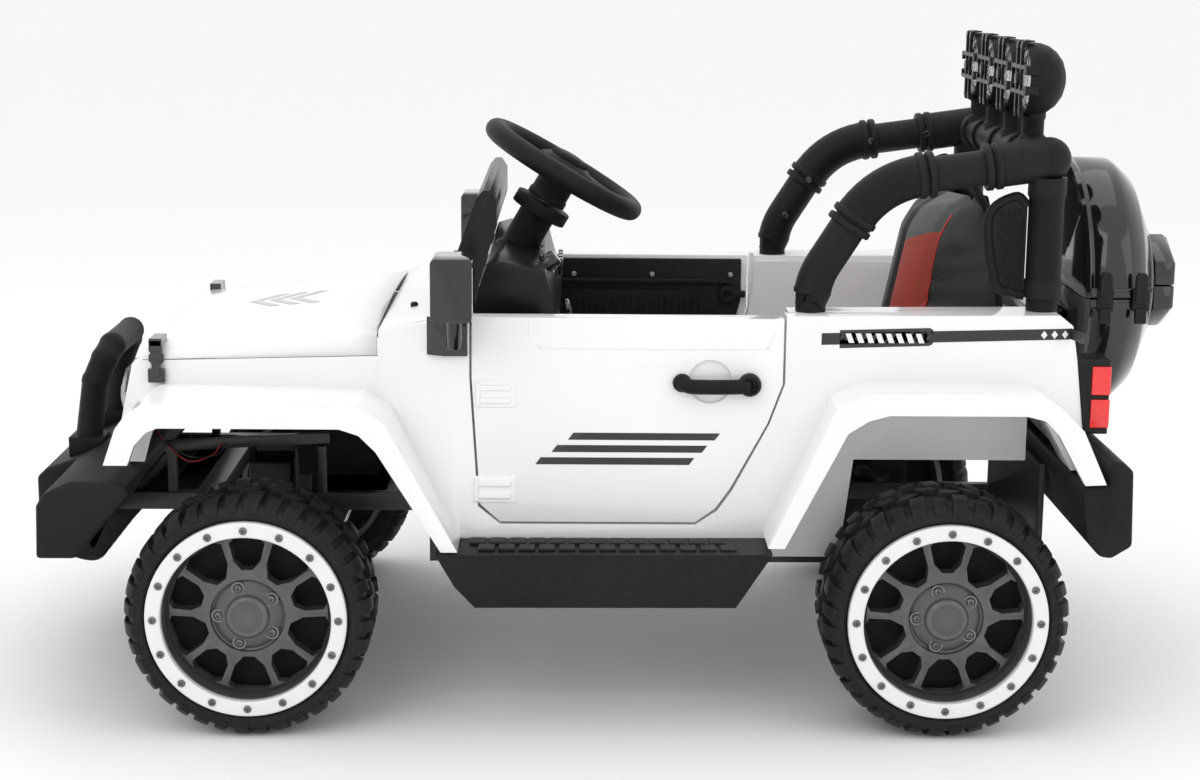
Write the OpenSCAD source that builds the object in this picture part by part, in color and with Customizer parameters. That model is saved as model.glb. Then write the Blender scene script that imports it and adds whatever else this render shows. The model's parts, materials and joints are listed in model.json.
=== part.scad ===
// Child's battery ride-on in the shape of a lifted off-road 4x4.
// +X is forward, +Y is the vehicle's left, +Z is up, and z = 0 is the ground.

/* [Overall] */
// Distance between the front and the rear axle
wheelbase = 759; // [620:1:920]
// How far the middle of the wheelbase sits ahead of the origin
axle_shift = 19; // [-40:1:60]
// Distance between the outer faces of the left and right wheels
width_over_wheels = 720; // [650:1:860]
// Width of the body over its side walls
body_w = 540; // [460:1:648]
// Height of the door tops and side walls above the axles
sill_up = 317; // [270:1:380]
// Height of the body's lower edge above the axles
bottom_up = 62; // [50:1:80]

/* [Wheels] */
// Radius of the tyre over its tread
wheel_r = 135; // [112:1:165]
// Width of the tyre
tyre_w = 114; // [96:1:136]
// Radius of the rim under the tyre's beads
rim_r = 98; // [80:1:108]
// Outer radius of the white bead ring
ring_r = 109; // [90:1:118]
// Thickness of the bead ring
ring_t = 8; // [5:1:12]
// Number of windows in the wheel's face
rim_windows = 10; // [6:1:12]
// Radius of the hub boss behind the wheel's cap
hub_r = 40; // [32:1:48]
// Radius of the steel axle rods
axle_r = 6; // [5:0.5:9]
// Radial running clearance of a wheel, knuckle or eye on its pin
run_gap = 0.05; // [0.02:0.01:0.1]

/* [Arches and flares] */
// Gap between the front tyre's top and the arch's lip
front_arch_gap = 71; // [50:1:90]
// Gap between the rear tyre's top and the arch's lip
rear_arch_gap = 89; // [60:1:105]
// Height of the flare's turned-down lip
lip_h = 24; // [14:1:34]
// Thickness of the flare's top skin
flare_t = 5; // [3:0.5:8]
// Distance of the flare's outer edge from the centre line
flare_y = 337; // [300:1:380]

/* [Body] */
// Thickness of a single body panel
panel_t = 6; // [4:0.5:10]
// Thickness of the rear side walls that carry the roll bar
quarter_t = 62; // [52:1:76]
// Half width of the nose at the windscreen end
cowl_half_w = 235; // [215:1:250]
// Half width of the nose at the grille
nose_half_w = 210; // [190:1:225]
// Height of the hood's crown over its shoulders
hood_crown = 8; // [3:1:14]
// Thickness of a door
door_t = 28; // [20:1:34]
// Gap round a door
door_gap = 2.5; // [2:0.5:5]
// Half width of the cabin tub
tub_half_w = 206; // [180:1:207]

/* [Steering] */
// Distance of the kingpins from the centre line
kingpin_y = 212; // [200:1:222]
// Length of the steering arm on a knuckle
arm_l = 55; // [45:1:60]
// Outer radius of the steering wheel's rim ring
wheel_ring_r = 94.5; // [80:0.5:105]
// Radius of the steering wheel's grip
grip_r = 12.5; // [9:0.5:15]
// Angle of the steering shaft from the vertical
shaft_tilt = 30.4; // [24:0.2:36]

/* [Roll bar and lamps] */
// Radius of the roll bar's straight tubes
bar_r = 19.5; // [15:0.5:24]
// Distance of the roll bar's hoops from the centre line
bar_y = 232; // [226:1:238]
// Number of roof lamps
lamps = 4; // [2:1:5]
// Radius of a roof lamp
lamp_r = 41; // [32:1:46]
// Distance between two roof lamps
lamp_pitch = 104; // [96:1:120]

/* [Spare wheel box] */
// Radius of the box that is shaped as a spare wheel
box_r = 148; // [120:1:160]
// Wall of the spare wheel box
box_wall = 4; // [3:0.5:6]
// Gap between the box's lid and its base
lid_gap = 1; // [0.5:0.5:3]

/* [Hidden] */
$fn = 64;

// Axle stations and the two heights that everything else is measured from
xf = axle_shift + wheelbase / 2 - 0.5;
xr = axle_shift - wheelbase / 2 - 0.5;
axle_z = wheel_r;
sill_z = axle_z + sill_up;
bottom_z = axle_z + bottom_up;
side_y = body_w / 2;
wheel_y = width_over_wheels / 2 - tyre_w / 2 - 1;
front_arch_z = axle_z + wheel_r + front_arch_gap;
rear_arch_z = axle_z + wheel_r + rear_arch_gap;
quarter_y = side_y - quarter_t;
wall_rise = 6;
// Height of a side wall's top edge, which rises gently towards the tail
function wall_top(x) = sill_z + wall_rise * (xf - 227 - x) / (xf - 227 - xr + 125);
door_y = side_y - door_t;

// Points in the side view, from the front or rear axle and from the axle or sill height
function F(dx, dz) = [xf + dx, axle_z + dz];
function B(dx, dz) = [xr + dx, axle_z + dz];
function FS(dx, dz) = [xf + dx, sill_z + dz];
function BS(dx, dz) = [xr + dx, sill_z + dz];
function turned(list) = [for (i = [len(list) - 1:-1:0]) list[i]];
function toward(p, c, d) = p + d * (c - p) / norm(c - p);

// A side-view outline extruded from y0 to y1
module across(y0, y1) {
  translate([0, y1, 0]) rotate([90, 0, 0]) linear_extrude(y1 - y0) children();
}

// The children and their mirror image on the vehicle's right
module both_sides() {
  children();
  mirror([0, 1, 0]) children();
}

// A round rod between two points
module rod(a, b, r) {
  d = b - a;
  l = norm(d);
  translate(a) rotate([0, acos(d[2] / l), atan2(d[1], d[0])]) cylinder(r = r, h = l);
}

// A box given by its two corners
module block(lo, hi) {
  translate(lo) cube(hi - lo);
}

// ---- outlines in the side view ----

front_lip = [
  [xf + wheel_r - 9, front_arch_z - 41], [xf + wheel_r - 17, front_arch_z - 19],
  [xf + wheel_r - 30, front_arch_z - 5], [xf + wheel_r - 42, front_arch_z],
  [xf - wheel_r + 34, front_arch_z], [xf - wheel_r + 13, front_arch_z - 7],
  [xf - wheel_r - 5, front_arch_z - 25], [xf - wheel_r - 74, bottom_z + 8]
];
front_edge = [
  [xf + wheel_r + 17, front_arch_z - 41], [xf + wheel_r + 3, front_arch_z - 1],
  [xf + wheel_r - 9, front_arch_z + lip_h - 9], [xf + wheel_r - 23, front_arch_z + lip_h],
  [xf - wheel_r + 13, front_arch_z + lip_h], [xf - wheel_r - 14, front_arch_z + lip_h - 17],
  [xf - wheel_r - 92, bottom_z + 8]
];
rear_lip = [
  [xr + wheel_r + 42, bottom_z + 14], [xr + wheel_r - 23, rear_arch_z - 20],
  [xr + wheel_r - 45, rear_arch_z - 6], [xr + wheel_r - 67, rear_arch_z],
  [xr - wheel_r + 55, rear_arch_z], [xr - wheel_r + 35, rear_arch_z - 5],
  [xr - wheel_r + 20, rear_arch_z - 21], [xr - wheel_r - 11, rear_arch_z - 76]
];
rear_edge = [
  [xr + wheel_r + 60, bottom_z + 14], [xr + wheel_r - 10, rear_arch_z + lip_h - 16],
  [xr + wheel_r - 44, rear_arch_z + lip_h], [xr - wheel_r + 44, rear_arch_z + lip_h],
  [xr - wheel_r + 19, rear_arch_z + lip_h - 14], [xr - wheel_r - 7, rear_arch_z - 16],
  [xr - wheel_r - 34, rear_arch_z - 75]
];
door_outline = [
  FS(-240, 0), F(-240, 249), F(-249, 107), F(-271, 87), B(271, 87), B(249, 103), B(233, 126),
  B(193, 200), B(177, 245), BS(177, 0)
];
side_outline = concat(
  [BS(-125, wall_rise), BS(-140, -6), BS(-147, -46), B(-157, 194), B(-162, 149)],
  turned(rear_lip),
  [[xr + wheel_r + 44, bottom_z], [xf - wheel_r - 66, bottom_z]],
  turned(front_lip),
  [F(133, 139), F(176, 139), F(158, 187), F(144, 251), F(140, 256), F(120, 256)],
  [F(-135, 267), F(-135, 296), FS(-227, 0)]
);

// ---- body ----

// The plan outline of one side wall, from the tail to the grille
module side_wall_plan() {
  polygon([
    [xr - 175, side_y - 8], [xr - 130, side_y], [xf - 212, side_y], [xf - 137, cowl_half_w],
    [xf + 180, nose_half_w - 4], [xf + 180, nose_half_w - 4 - panel_t],
    [xf - 137, cowl_half_w - panel_t], [xf - 212, door_y - 2], [xr + 170, door_y - 2],
    [xr + 170, quarter_y], [xr - 175, quarter_y]
  ]);
}

// One flare: a flat skin from the body out, with a turned-down outer lip
module flare(edge, lip, c) {
  across(quarter_y + 0.5, flare_y - 12)
    polygon(concat(edge, turned([for (p = edge) toward(p, c, flare_t)])));
  across(flare_y - 12, flare_y) polygon(concat(edge, turned(lip)));
}

module body_shell() {
  color("white") {
    both_sides() {
      difference() {
        intersection() {
          across(0, side_y + 1) polygon(side_outline);
          linear_extrude(sill_z + 20) side_wall_plan();
        }
        across(door_y - 4, side_y + 2) door_opening();
        tail_light_pocket();
      }
      flare(front_edge, front_lip, [xf, axle_z]);
      difference() {
        flare(rear_edge, rear_lip, [xr, axle_z]);
        tail_light_pocket();
      }
    }
    // cowl between the hood and the windscreen
    across(-cowl_half_w + 1, cowl_half_w - 1)
      polygon([F(-135, 290), F(-135, 296), FS(-227, 0), FS(-227, -panel_t)]);
    // rear wall and the deck behind the seat
    across(-side_y + 10, side_y - 10) polygon([
        BS(-110, 0), BS(-125, wall_rise), BS(-140, -6), BS(-147, -46), B(-157, 194), B(-162, 149),
        B(-155, 149), B(-150, 194), BS(-140, -46), BS(-132, -8), BS(-110, -8)
    ]);
  }
}

// Room for a tail light, where a larger wheel's flare would reach it
module tail_light_pocket() {
  across(side_y - 49, side_y + 1) polygon([B(-210, 189), B(-210, 274), B(-147.2, 274), B(-157.8, 189)]);
}

// The door's outline with the gap round it
module door_opening() {
  polygon([
    FS(-240 + door_gap, 40), F(-240 + door_gap, 249), F(-249 + door_gap, 107 - door_gap),
    F(-271, 87 - door_gap), B(271, 87 - door_gap), B(249 - door_gap, 103 - door_gap),
    B(233 - door_gap, 126 - door_gap), B(193 - door_gap, 200), B(177 - door_gap, 245),
    BS(177 - door_gap, 40)
  ]);
}

// A cross section of the hood: straight sides, rounded shoulders and a crown
module hood_section(half_w, low, high, r) {
  shoulder = [for (a = [0:30:90]) [half_w - r + r * cos(a), high - r + r * sin(a)]];
  crown = [for (i = [3:-1:-3]) [i * half_w / 5, high + hood_crown * (1 - i * i / 16)]];
  left = [for (p = turned(shoulder)) [-p[0], p[1]]];
  polygon(concat([[half_w, low]], shoulder, crown, left, [[-half_w, low]]));
}

module hood_form(inset) {
  hull() {
    translate([xf + 132 - inset, 0, 0]) rotate([90, 0, 90]) linear_extrude(1)
      hood_section(nose_half_w - 1 - inset, axle_z + 257 - 2 * inset, axle_z + 274 - inset, 16.5);
    translate([xf - 133 + inset, 0, 0]) rotate([90, 0, 90]) linear_extrude(1)
      hood_section(cowl_half_w - 1 - inset, axle_z + 268 - 2 * inset, axle_z + 297 - inset, 14);
  }
}

module hood() {
  color("white") difference() {
    hood_form(0);
    hood_form(panel_t);
  }
}

module grille() {
  slots = 7;
  color("white") difference() {
    across(-nose_half_w + 10, nose_half_w - 10)
      polygon([F(176, 139), F(158, 187), F(144, 251), F(136, 256), F(128, 256), F(150, 187), F(168, 139)]);
    for (i = [0:slots - 1])
      block([xf + 120, (i - (slots - 1) / 2) * 21 - 6, axle_z + 160],
            [xf + 200, (i - (slots - 1) / 2) * 21 + 6, axle_z + 244]);
    both_sides() translate([xf + 100, 140, axle_z + 204]) rotate([0, 90, 0]) cylinder(r = 43, h = 100);
  }
}

module grille_insert() {
  color("dimgray") across(-84, 84)
    polygon([F(166, 142), F(148, 188), F(128, 250), F(124, 250), F(144, 188), F(162, 142)]);
}

module headlights() {
  color("lightgray") both_sides() translate([xf + 118, 140, axle_z + 204]) rotate([0, 90, 0])
    rotate_extrude() polygon([[0, 0], [18, 3], [34, 14], [42, 30], [42, 46], [30, 50], [0, 52]]);
}

module hood_latches() {
  foot_z = front_arch_z + lip_h + 2;
  color("black") both_sides()
    block([xf + 105, nose_half_w + 3, foot_z], [xf + 125, nose_half_w + 11, foot_z + 47]);
}

module windscreen_frame() {
  color("black") {
    both_sides() across(168, 200) polygon([
      FS(-202, 0.5), FS(-220, 59), FS(-243, 123), FS(-250, 131), FS(-258, 131), FS(-265, 120),
      FS(-265, 90), FS(-246, 29), FS(-238, 0.5)
    ]);
    across(-169, 169) polygon([
      FS(-232, 93), FS(-243, 123), FS(-250, 131), FS(-258, 131), FS(-265, 120), FS(-265, 93)
    ]);
    across(-169, 169) polygon([FS(-202, 0.5), FS(-208, 20), FS(-228, 20), FS(-238, 0.5)]);
  }
}

module dashboard() {
  color("black") difference() {
    across(-200, 200) polygon([
      FS(-239.5, 0.5), FS(-247.5, 29), FS(-253.5, 47), FS(-270, 52), FS(-319, 41), FS(-336, -22), FS(-327, -120),
      FS(-319, -120), FS(-300, -20), FS(-239.5, -20)
    ]);
    across(-190, 190) polygon([
      FS(-250, -26), FS(-256, 29), FS(-260, 41), FS(-271, 44), FS(-312, 34), FS(-328, -22), FS(-322, -90),
      FS(-306, -26)
    ]);
    shaft_frame() cylinder(r = 27, h = 230);
  }
}

// The tub: floor, firewall, kick panels, seat box and low sides under the doors
module cabin_tub() {
  seat_z = axle_z + 145;
  color("whitesmoke") difference() {
    union() {
      across(-tub_half_w, tub_half_w) polygon([
        F(-205, 30), F(-205, 280), F(-215, 280), F(-215, 42), B(172, 42), B(160, seat_z - axle_z + 10),
        B(-100, seat_z - axle_z + 10), B(-100, 300), B(-108, 300), B(-108, seat_z - axle_z),
        B(88, seat_z - axle_z), B(102, 30)
      ]);
      both_sides() across(tub_half_w - 8, tub_half_w) polygon([
        F(-205, 30), F(-205, 280), F(-236, 280), F(-252, 84), B(250, 84), B(178, 240),
        BS(168, -2), BS(-108, -2), B(-108, seat_z - axle_z), B(88, seat_z - axle_z), B(102, 30)
      ]);
    }
    shaft_frame() cylinder(r = 12, h = 500);
  }
}

module seat_shell() {
  color("black") across(-116, 116) polygon([
    B(150, 155.5), B(150, 164), B(-88, 164), B(-87, 294), B(-73, 410), B(-50, 448),
    B(-56, 453), B(-81, 412), B(-95, 296), B(-96, 155.5)
  ]);
}

module seat_cushion() {
  color("dimgray") across(-110, 110) polygon([
    B(148, 165), B(148, 182), B(136, 196), B(36, 200), B(28, 280), B(7, 388), B(-16, 433),
    B(-36, 445), B(-48, 444), B(-71, 409), B(-85, 294), B(-86, 165)
  ]);
}

module foot_pedal() {
  color("black") across(-85, -45) polygon([F(-262, 42.5), F(-262, 52), F(-320, 74), F(-330, 74), F(-300, 42.5)]);
}

// ---- steering ----

// The steering shaft's frame: +Z runs down the shaft from the wheel's centre
module shaft_frame() {
  translate([xf - 339, 0, sill_z + 136]) rotate([0, 180 - shaft_tilt, 0]) children();
}

module steering_column() {
  color("black") shaft_frame() difference() {
    union() {
      translate([0, 0, 46]) cylinder(r = 35, h = 16);
      translate([0, 0, 62]) cylinder(r = 22, h = 50);
      translate([0, 0, 112]) cylinder(r = 26, h = 38);
    }
    translate([0, 0, 40]) cylinder(r = axle_r + run_gap, h = 150);
    translate([0, 0, 66]) cylinder(r = 14, h = 120);
  }
}

module steering_wheel() {
  color("black") shaft_frame() {
    rotate_extrude() translate([wheel_ring_r, 0]) circle(r = grip_r);
    difference() {
      union() {
        translate([0, 0, -10]) cylinder(r = 38, h = 22);
        translate([0, 0, 10]) cylinder(r = 24, h = 34);
        for (a = [0, 180]) rotate([0, 0, 90 + a]) block([30, -16, -5], [wheel_ring_r - 4, 16, 7]);
        block([30, -14, -5], [wheel_ring_r - 4, 14, 7]);
      }
      translate([0, 0, 8]) cylinder(r = axle_r, h = 60);
    }
  }
}

module steering_shaft() {
  color("silver") shaft_frame() translate([0, 0, 8]) cylinder(r = axle_r, h = 412);
}

// ---- roll bar, lamps and spare wheel box ----

bar_path = [BS(145, bar_r + 8.5), BS(101, 110), BS(37, 156), BS(-60, 170), BS(-109, 172)];

module roll_bar() {
  color("black") {
    both_sides() {
      for (x = [xr + 145, xr - 112])
        translate([x, bar_y, wall_top(x) + 0.2]) cylinder(r = bar_r - 3, h = 26);
      for (i = [0:3])
        rod([bar_path[i][0], bar_y, bar_path[i][1]], [bar_path[i + 1][0], bar_y, bar_path[i + 1][1]], bar_r);
      for (i = [0:4]) translate([bar_path[i][0], bar_y, bar_path[i][1]]) sphere(r = bar_r + 4);
      rod([xr - 112, bar_y, sill_z + 17], [xr - 112, bar_y, sill_z + 165], bar_r - 1);
    }
    rod([xr - 109, -bar_y, sill_z + 172], [xr - 109, bar_y, sill_z + 172], bar_r - 2);
    for (i = [0:lamps - 1]) translate([xr - 109, lamp_at(i), sill_z + 176]) cylinder(r = 12, h = 38.8);
  }
}

lamp_z = sill_z + 256;
function lamp_at(i) = (i - (lamps - 1) / 2) * lamp_pitch;

module lamp_housings() {
  color("black") for (i = [0:lamps - 1]) translate([xr - 142, lamp_at(i), lamp_z]) rotate([0, 90, 0])
    rotate_extrude() polygon([
      [0, 0], [lamp_r - 25, 2], [lamp_r - 11, 10], [lamp_r - 2, 23], [lamp_r, 36], [lamp_r, 44], [0, 44]
    ]);
}

module lamp_lenses() {
  color("lightgray") for (i = [0:lamps - 1]) translate([xr - 98, lamp_at(i), lamp_z]) rotate([0, 90, 0])
    cylinder(r = lamp_r - 3, h = 8);
}

module side_mesh_panels() {
  color("black") both_sides() across(bar_y - 5, bar_y + 5) polygon([
    BS(bar_r - 110.5, 122), BS(-77, 132), BS(-49, 109), BS(-59, 37), BS(-77, 26), BS(bar_r - 110.5, 22)
  ]);
}

box_z = sill_z + 6;
hinge_y = -box_r - 5;

// Half of the wheel-shaped box: a closed front, a domed back and an open split plane
module box_half(sign) {
  translate([xr - 180, 0, box_z + sign * lid_gap / 2]) rotate([0, -90, 0])
    rotate([0, 0, sign > 0 ? -90 : 90]) rotate_extrude(angle = 180) difference() {
      polygon([[0, 0], [box_r, 0], [box_r, 52], [box_r - 20, 77], [box_r - 69, 98], [box_r - 102, 110], [0, 110]]);
      polygon([
        [0, box_wall], [box_r - box_wall, box_wall], [box_r - box_wall, 50], [box_r - 23, 73],
        [box_r - 71, 94], [box_r - 103, 106], [0, 106]
      ]);
    }
}

// Half of the six-sided boss on the box's back
module boss_half(sign) {
  intersection() {
    translate([xr - 289, 0, box_z]) rotate([0, -90, 0]) cylinder(r = 56, h = 24, $fn = 6);
    translate([xr - 330, -80, sign > 0 ? box_z + lid_gap / 2 : box_z - 80]) cube([60, 160, 80 - lid_gap / 2]);
  }
}

module spare_box_base() {
  color("black") {
    box_half(-1);
    boss_half(-1);
    across(-60, 60) polygon([BS(-180, -122), BS(-180, -22), BS(-145, -22), BS(-147, -46), B(-159.5, 195)]);
    for (x = [xr - 205, xr - 230]) translate([x, hinge_y, box_z]) rotate([0, 90, 0]) difference() {
      union() {
        cylinder(r = 5, h = 12);
        block([0.6, 0, 0], [12, 8, 12]);
      }
      translate([0, 0, -1]) cylinder(r = 2.5 + run_gap, h = 14);
    }
  }
}

module spare_box_lid() {
  color("black") {
    box_half(1);
    boss_half(1);
    difference() {
      translate([xr - 217, hinge_y, box_z]) rotate([0, 90, 0]) union() {
        cylinder(r = 5, h = 11);
        block([-12, 0, 0], [-0.6, 8, 11]);
      }
    }
    translate([xr - 230, hinge_y, box_z]) rotate([0, 90, 0]) cylinder(r = 2.5, h = 37);
  }
}

// ---- bumpers, steps and lights ----

module front_bumper() {
  color("black") {
    across(-300, 300) polygon([
      F(236, 109), F(228, 123), F(198, 138), F(150, 138), F(137, 132), F(132, 122), F(196, 50), F(238, 50)
    ]);
    across(-120, 120) polygon([F(228, 123), F(268, 108), F(279, 98), F(279, 30), F(262, 16), F(225, 40)]);
  }
}

module bull_bar() {
  r = 15.5;
  half_w = 75;
  path = [
    [xf + 226, half_w, axle_z + 136], [xf + 216, half_w, axle_z + 205], [xf + 205, half_w - 4, axle_z + 231],
    [xf + 199, half_w - 22, axle_z + 244]
  ];
  color("black") {
    both_sides() {
      for (i = [0:2]) rod(path[i], path[i + 1], r);
      for (i = [1:3]) translate(path[i]) sphere(r = r + 0.7);
      across(half_w - 20, half_w + 20)
        polygon([F(205, 135), F(228, 123.3), F(246, 116.6), F(246, 140), F(205, 140)]);
    }
    rod([path[3][0], 22 - half_w, path[3][2]], path[3], r);
  }
}

module skid_plate() {
  color("black") across(-130, 130) polygon([
    F(147, 71), F(209, 2), F(244, 9), F(262, 15), F(224, 38), F(214, 14), F(196, 49), F(160, 90)
  ]);
}

module rear_bumper() {
  color("black") across(-330, 330) polygon([
    B(-174, 145), B(-174, 173), B(-188, 173), B(-200, 162), B(-203, 78), B(-181, 64), B(-168, 66),
    B(-153, 83), B(-145, 127), B(-147, 145)
  ]);
}

module side_steps() {
  color("black") both_sides() {
    across(side_y + 1, 340) polygon([F(-203, 68), F(-224, 32), F(-246, 9), B(229, 10), B(190, 70)]);
    across(side_y - 45, side_y + 1)
      polygon([F(-208, 61), F(-224, 32), F(-246, 9), B(229, 10), B(196, 61)]);
  }
}

module tail_lights() {
  color("black") both_sides() difference() {
    across(side_y - 48, side_y - 2) polygon([B(-184, 190), B(-184, 273), B(-147.6, 273), B(-158, 190)]);
    block([xr - 190, side_y - 42, axle_z + 197], [xr - 164, side_y, axle_z + 229]);
    block([xr - 190, side_y - 42, axle_z + 234], [xr - 164, side_y, axle_z + 266]);
  }
}

module tail_lenses() {
  color("red") both_sides() for (z = [197, 234])
    block([xr - 185, side_y - 42, axle_z + z], [xr - 164, side_y - 1, axle_z + z + 32]);
}

module mirrors() {
  color("black") both_sides() {
    translate([0, 0, sill_z - 42]) linear_extrude(42) polygon([
      [xf - 236, side_y + 0.5], [xf - 212, side_y + 0.5], [xf - 191, side_y - 9.2], [xf - 191, side_y - 2],
      [xf - 210, side_y + 7], [xf - 236, side_y + 7]
    ]);
    rod([xf - 222, side_y + 12, sill_z - 30], [xf - 222, side_y + 28, sill_z + 12], 9);
    block([xf - 232, side_y + 6, sill_z - 36], [xf - 212, side_y + 14, sill_z - 16]);
    hull() for (x = [-238, -206]) for (z = [12, 68])
      translate([xf + x, side_y + 12, sill_z + z]) rotate([-90, 0, 0]) cylinder(r = 6, h = 62, $fn = 24);
  }
}

// ---- chassis and axles ----

module chassis_frame() {
  rail_y = 150;
  color("dimgray") difference() {
    union() {
      both_sides() {
        across(rail_y - 8, rail_y + 8) polygon([
          B(-150, 9), B(-150, 29), F(-205, 29), F(-205, 90), F(159.5, 90), F(177.3, 70), F(-185, 70), F(-185, 9)
        ]);
        across(rail_y - 5, rail_y + 5) polygon([F(-70, 149), F(-70, 161), F(121, 150), F(121, 138)]);
        for (x = [-66, 108]) block([xf + x, rail_y - 5, axle_z + 88], [xf + x + 10, rail_y + 5, axle_z + 145]);
        block([xf - 10, rail_y - 8, axle_z + 10], [xf + 10, rail_y + 8, axle_z + 72]);
        block([xr - 20, rail_y - 8, axle_z - 18], [xr + 20, rail_y + 8, axle_z + 10]);
      }
      for (x = [-160, 60, 120]) block([xf + x, -rail_y, axle_z + 70], [xf + x + 26, rail_y, axle_z + 90]);
      block([xr - 144.8, -rail_y, axle_z + 9], [xr - 138, rail_y, axle_z + 127]);
      block([xr + 110, -rail_y, axle_z + 9], [xr + 130, rail_y, axle_z + 29]);
    }
    translate([xr, -200, axle_z]) rotate([-90, 0, 0]) cylinder(r = axle_r, h = 400);
    shaft_frame() cylinder(r = axle_r + run_gap, h = 500);
  }
}

module front_axle() {
  color("dimgray") {
    block([xf - 10, -kingpin_y + 26, axle_z - 10], [xf + 10, kingpin_y - 26, axle_z + 10]);
    both_sides() {
      block([xf - 14, kingpin_y - 26, axle_z - 30], [xf + 14, kingpin_y - 20, axle_z + 30]);
      for (z = [-30, 26]) block([xf - 14, kingpin_y - 26, axle_z + z], [xf + 14, kingpin_y + 14, axle_z + z + 4]);
      translate([xf, kingpin_y, axle_z - 28]) cylinder(r = 5, h = 56);
    }
  }
}

module knuckle() {
  color("silver") {
    difference() {
      block([xf - 14, kingpin_y - 13, axle_z - 25], [xf + 14, kingpin_y + 15, axle_z + 25]);
      translate([xf, kingpin_y, axle_z - 40]) cylinder(r = 5 + run_gap, h = 80);
    }
    translate([xf, kingpin_y + 14, axle_z]) rotate([-90, 0, 0]) cylinder(r = axle_r, h = wheel_y - kingpin_y + 22);
    block([xf - arm_l - 8, kingpin_y - 7, axle_z - 25], [xf - 13, kingpin_y + 7, axle_z - 17]);
    translate([xf - arm_l, kingpin_y, axle_z - 18]) cylinder(r = 4, h = 13);
  }
}

module front_gearbox() {
  color("black") {
    block([xf + 24, kingpin_y - 12, axle_z - 40], [xf + 80, kingpin_y + 26, axle_z + 40]);
    block([xf + 14, kingpin_y - 8, axle_z - 20], [xf + 25, kingpin_y + 15, axle_z + 20]);
  }
}

module tie_rod() {
  x = xf - arm_l;
  eye_z = axle_z - 16;
  color("silver") difference() {
    union() {
      block([x - 5, -kingpin_y, eye_z], [x + 5, kingpin_y, eye_z + 9]);
      both_sides() translate([x, kingpin_y, eye_z]) cylinder(r = 9, h = 9);
    }
    translate([x, kingpin_y, eye_z - 5]) cylinder(r = 4 + run_gap, h = 20);
    translate([x, -kingpin_y, eye_z - 5]) cylinder(r = 4.5, h = 20);
  }
}

module rear_axle() {
  color("silver") translate([xr, -wheel_y - 36, axle_z]) rotate([-90, 0, 0])
    cylinder(r = axle_r, h = 2 * wheel_y + 72);
}

module rear_gearboxes() {
  color("black") both_sides() difference() {
    union() {
      block([xr - 40, wheel_y - 92, axle_z - 40], [xr + 45, wheel_y - 62, axle_z + 55]);
      translate([xr + 22, wheel_y - 137, axle_z + 30]) rotate([-90, 0, 0]) cylinder(r = 17, h = 50);
    }
    translate([xr, wheel_y - 152, axle_z]) rotate([-90, 0, 0]) cylinder(r = axle_r, h = 120);
  }
}

module battery() {
  color("dimgray") block([xf - 120, -76, axle_z + 90.5], [xf - 22, 76, axle_z + 185]);
}

// ---- doors ----

module door() {
  color("white") difference() {
    across(door_y, side_y) polygon(door_outline);
    translate([xr + 257, side_y - 4, sill_z - 70]) rotate([-90, 0, 0]) cylinder(r = 24, h = 10);
  }
}

module door_trim() {
  color("black") across(door_y - 6, door_y) polygon([
    FS(-257, -86), FS(-253, -5), BS(185, -5), BS(185, -60), BS(192, -86)
  ]);
}

module door_handle() {
  color("black") {
    across(side_y + 4, side_y + 15) polygon([
      BS(293, -84), BS(293, -70), BS(280, -62), BS(214, -60), BS(206, -72), BS(214, -84)
    ]);
    for (x = [222, 284]) block([xr + x - 6, side_y, sill_z - 79], [xr + x + 6, side_y + 5, sill_z - 67]);
  }
}

// ---- wheels ----

// The children turned so that their +Z is the wheel's outer side, at a wheel's place
module at_wheel(x, side) {
  translate([x, side * wheel_y, axle_z]) rotate([side > 0 ? -90 : 90, 0, 0]) children();
}

module tyre() {
  h = tyre_w / 2;
  color("black") rotate_extrude() polygon([
    [rim_r, -h + 9], [ring_r + 1, -h + 7], [ring_r + 4, 0 - h], [wheel_r - 9, 1 - h], [wheel_r - 2, 9 - h],
    [wheel_r, 21 - h], [wheel_r, h - 21], [wheel_r - 2, h - 9], [wheel_r - 9, h - 1], [ring_r + 4, h],
    [ring_r + 1, h - 7], [rim_r, h - 7]
  ]);
}

// One window: a six-sided opening between two spokes
module rim_window(wide) {
  w = wide ? 0.30 : 0.24;
  inner = wide ? 54 : 58;
  polygon([
    inner * [cos(60 * w), sin(60 * w)], 70 * [cos(62 * w), sin(62 * w)], 84 * [cos(46 * w), sin(46 * w)],
    84 * [cos(46 * w), -sin(46 * w)], 70 * [cos(62 * w), -sin(62 * w)], inner * [cos(60 * w), -sin(60 * w)]
  ]);
}

module rim() {
  h = tyre_w / 2;
  color("dimgray") difference() {
    union() {
      difference() {
        translate([0, 0, 9 - h]) cylinder(r = rim_r, h = tyre_w - 16);
        translate([0, 0, 8 - h]) cylinder(r = rim_r - 7, h = tyre_w);
      }
      translate([0, 0, h - 52]) cylinder(r = rim_r - 6.5, h = 4);
      translate([0, 0, h - 33]) linear_extrude(12) difference() {
        circle(r = rim_r - 6.5);
        for (i = [0:rim_windows - 1]) rotate(i * 360 / rim_windows) rim_window(i % 2 == 0);
      }
      translate([0, 0, -30]) cylinder(r = hub_r, h = h + 20);
      difference() {
        translate([0, 0, h - 7]) cylinder(r = ring_r, h = ring_t);
        translate([0, 0, h - 8]) cylinder(r = rim_r - 6, h = ring_t + 2);
      }
    }
    translate([0, 0, -40]) cylinder(r = axle_r + run_gap, h = 78);
  }
}

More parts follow.
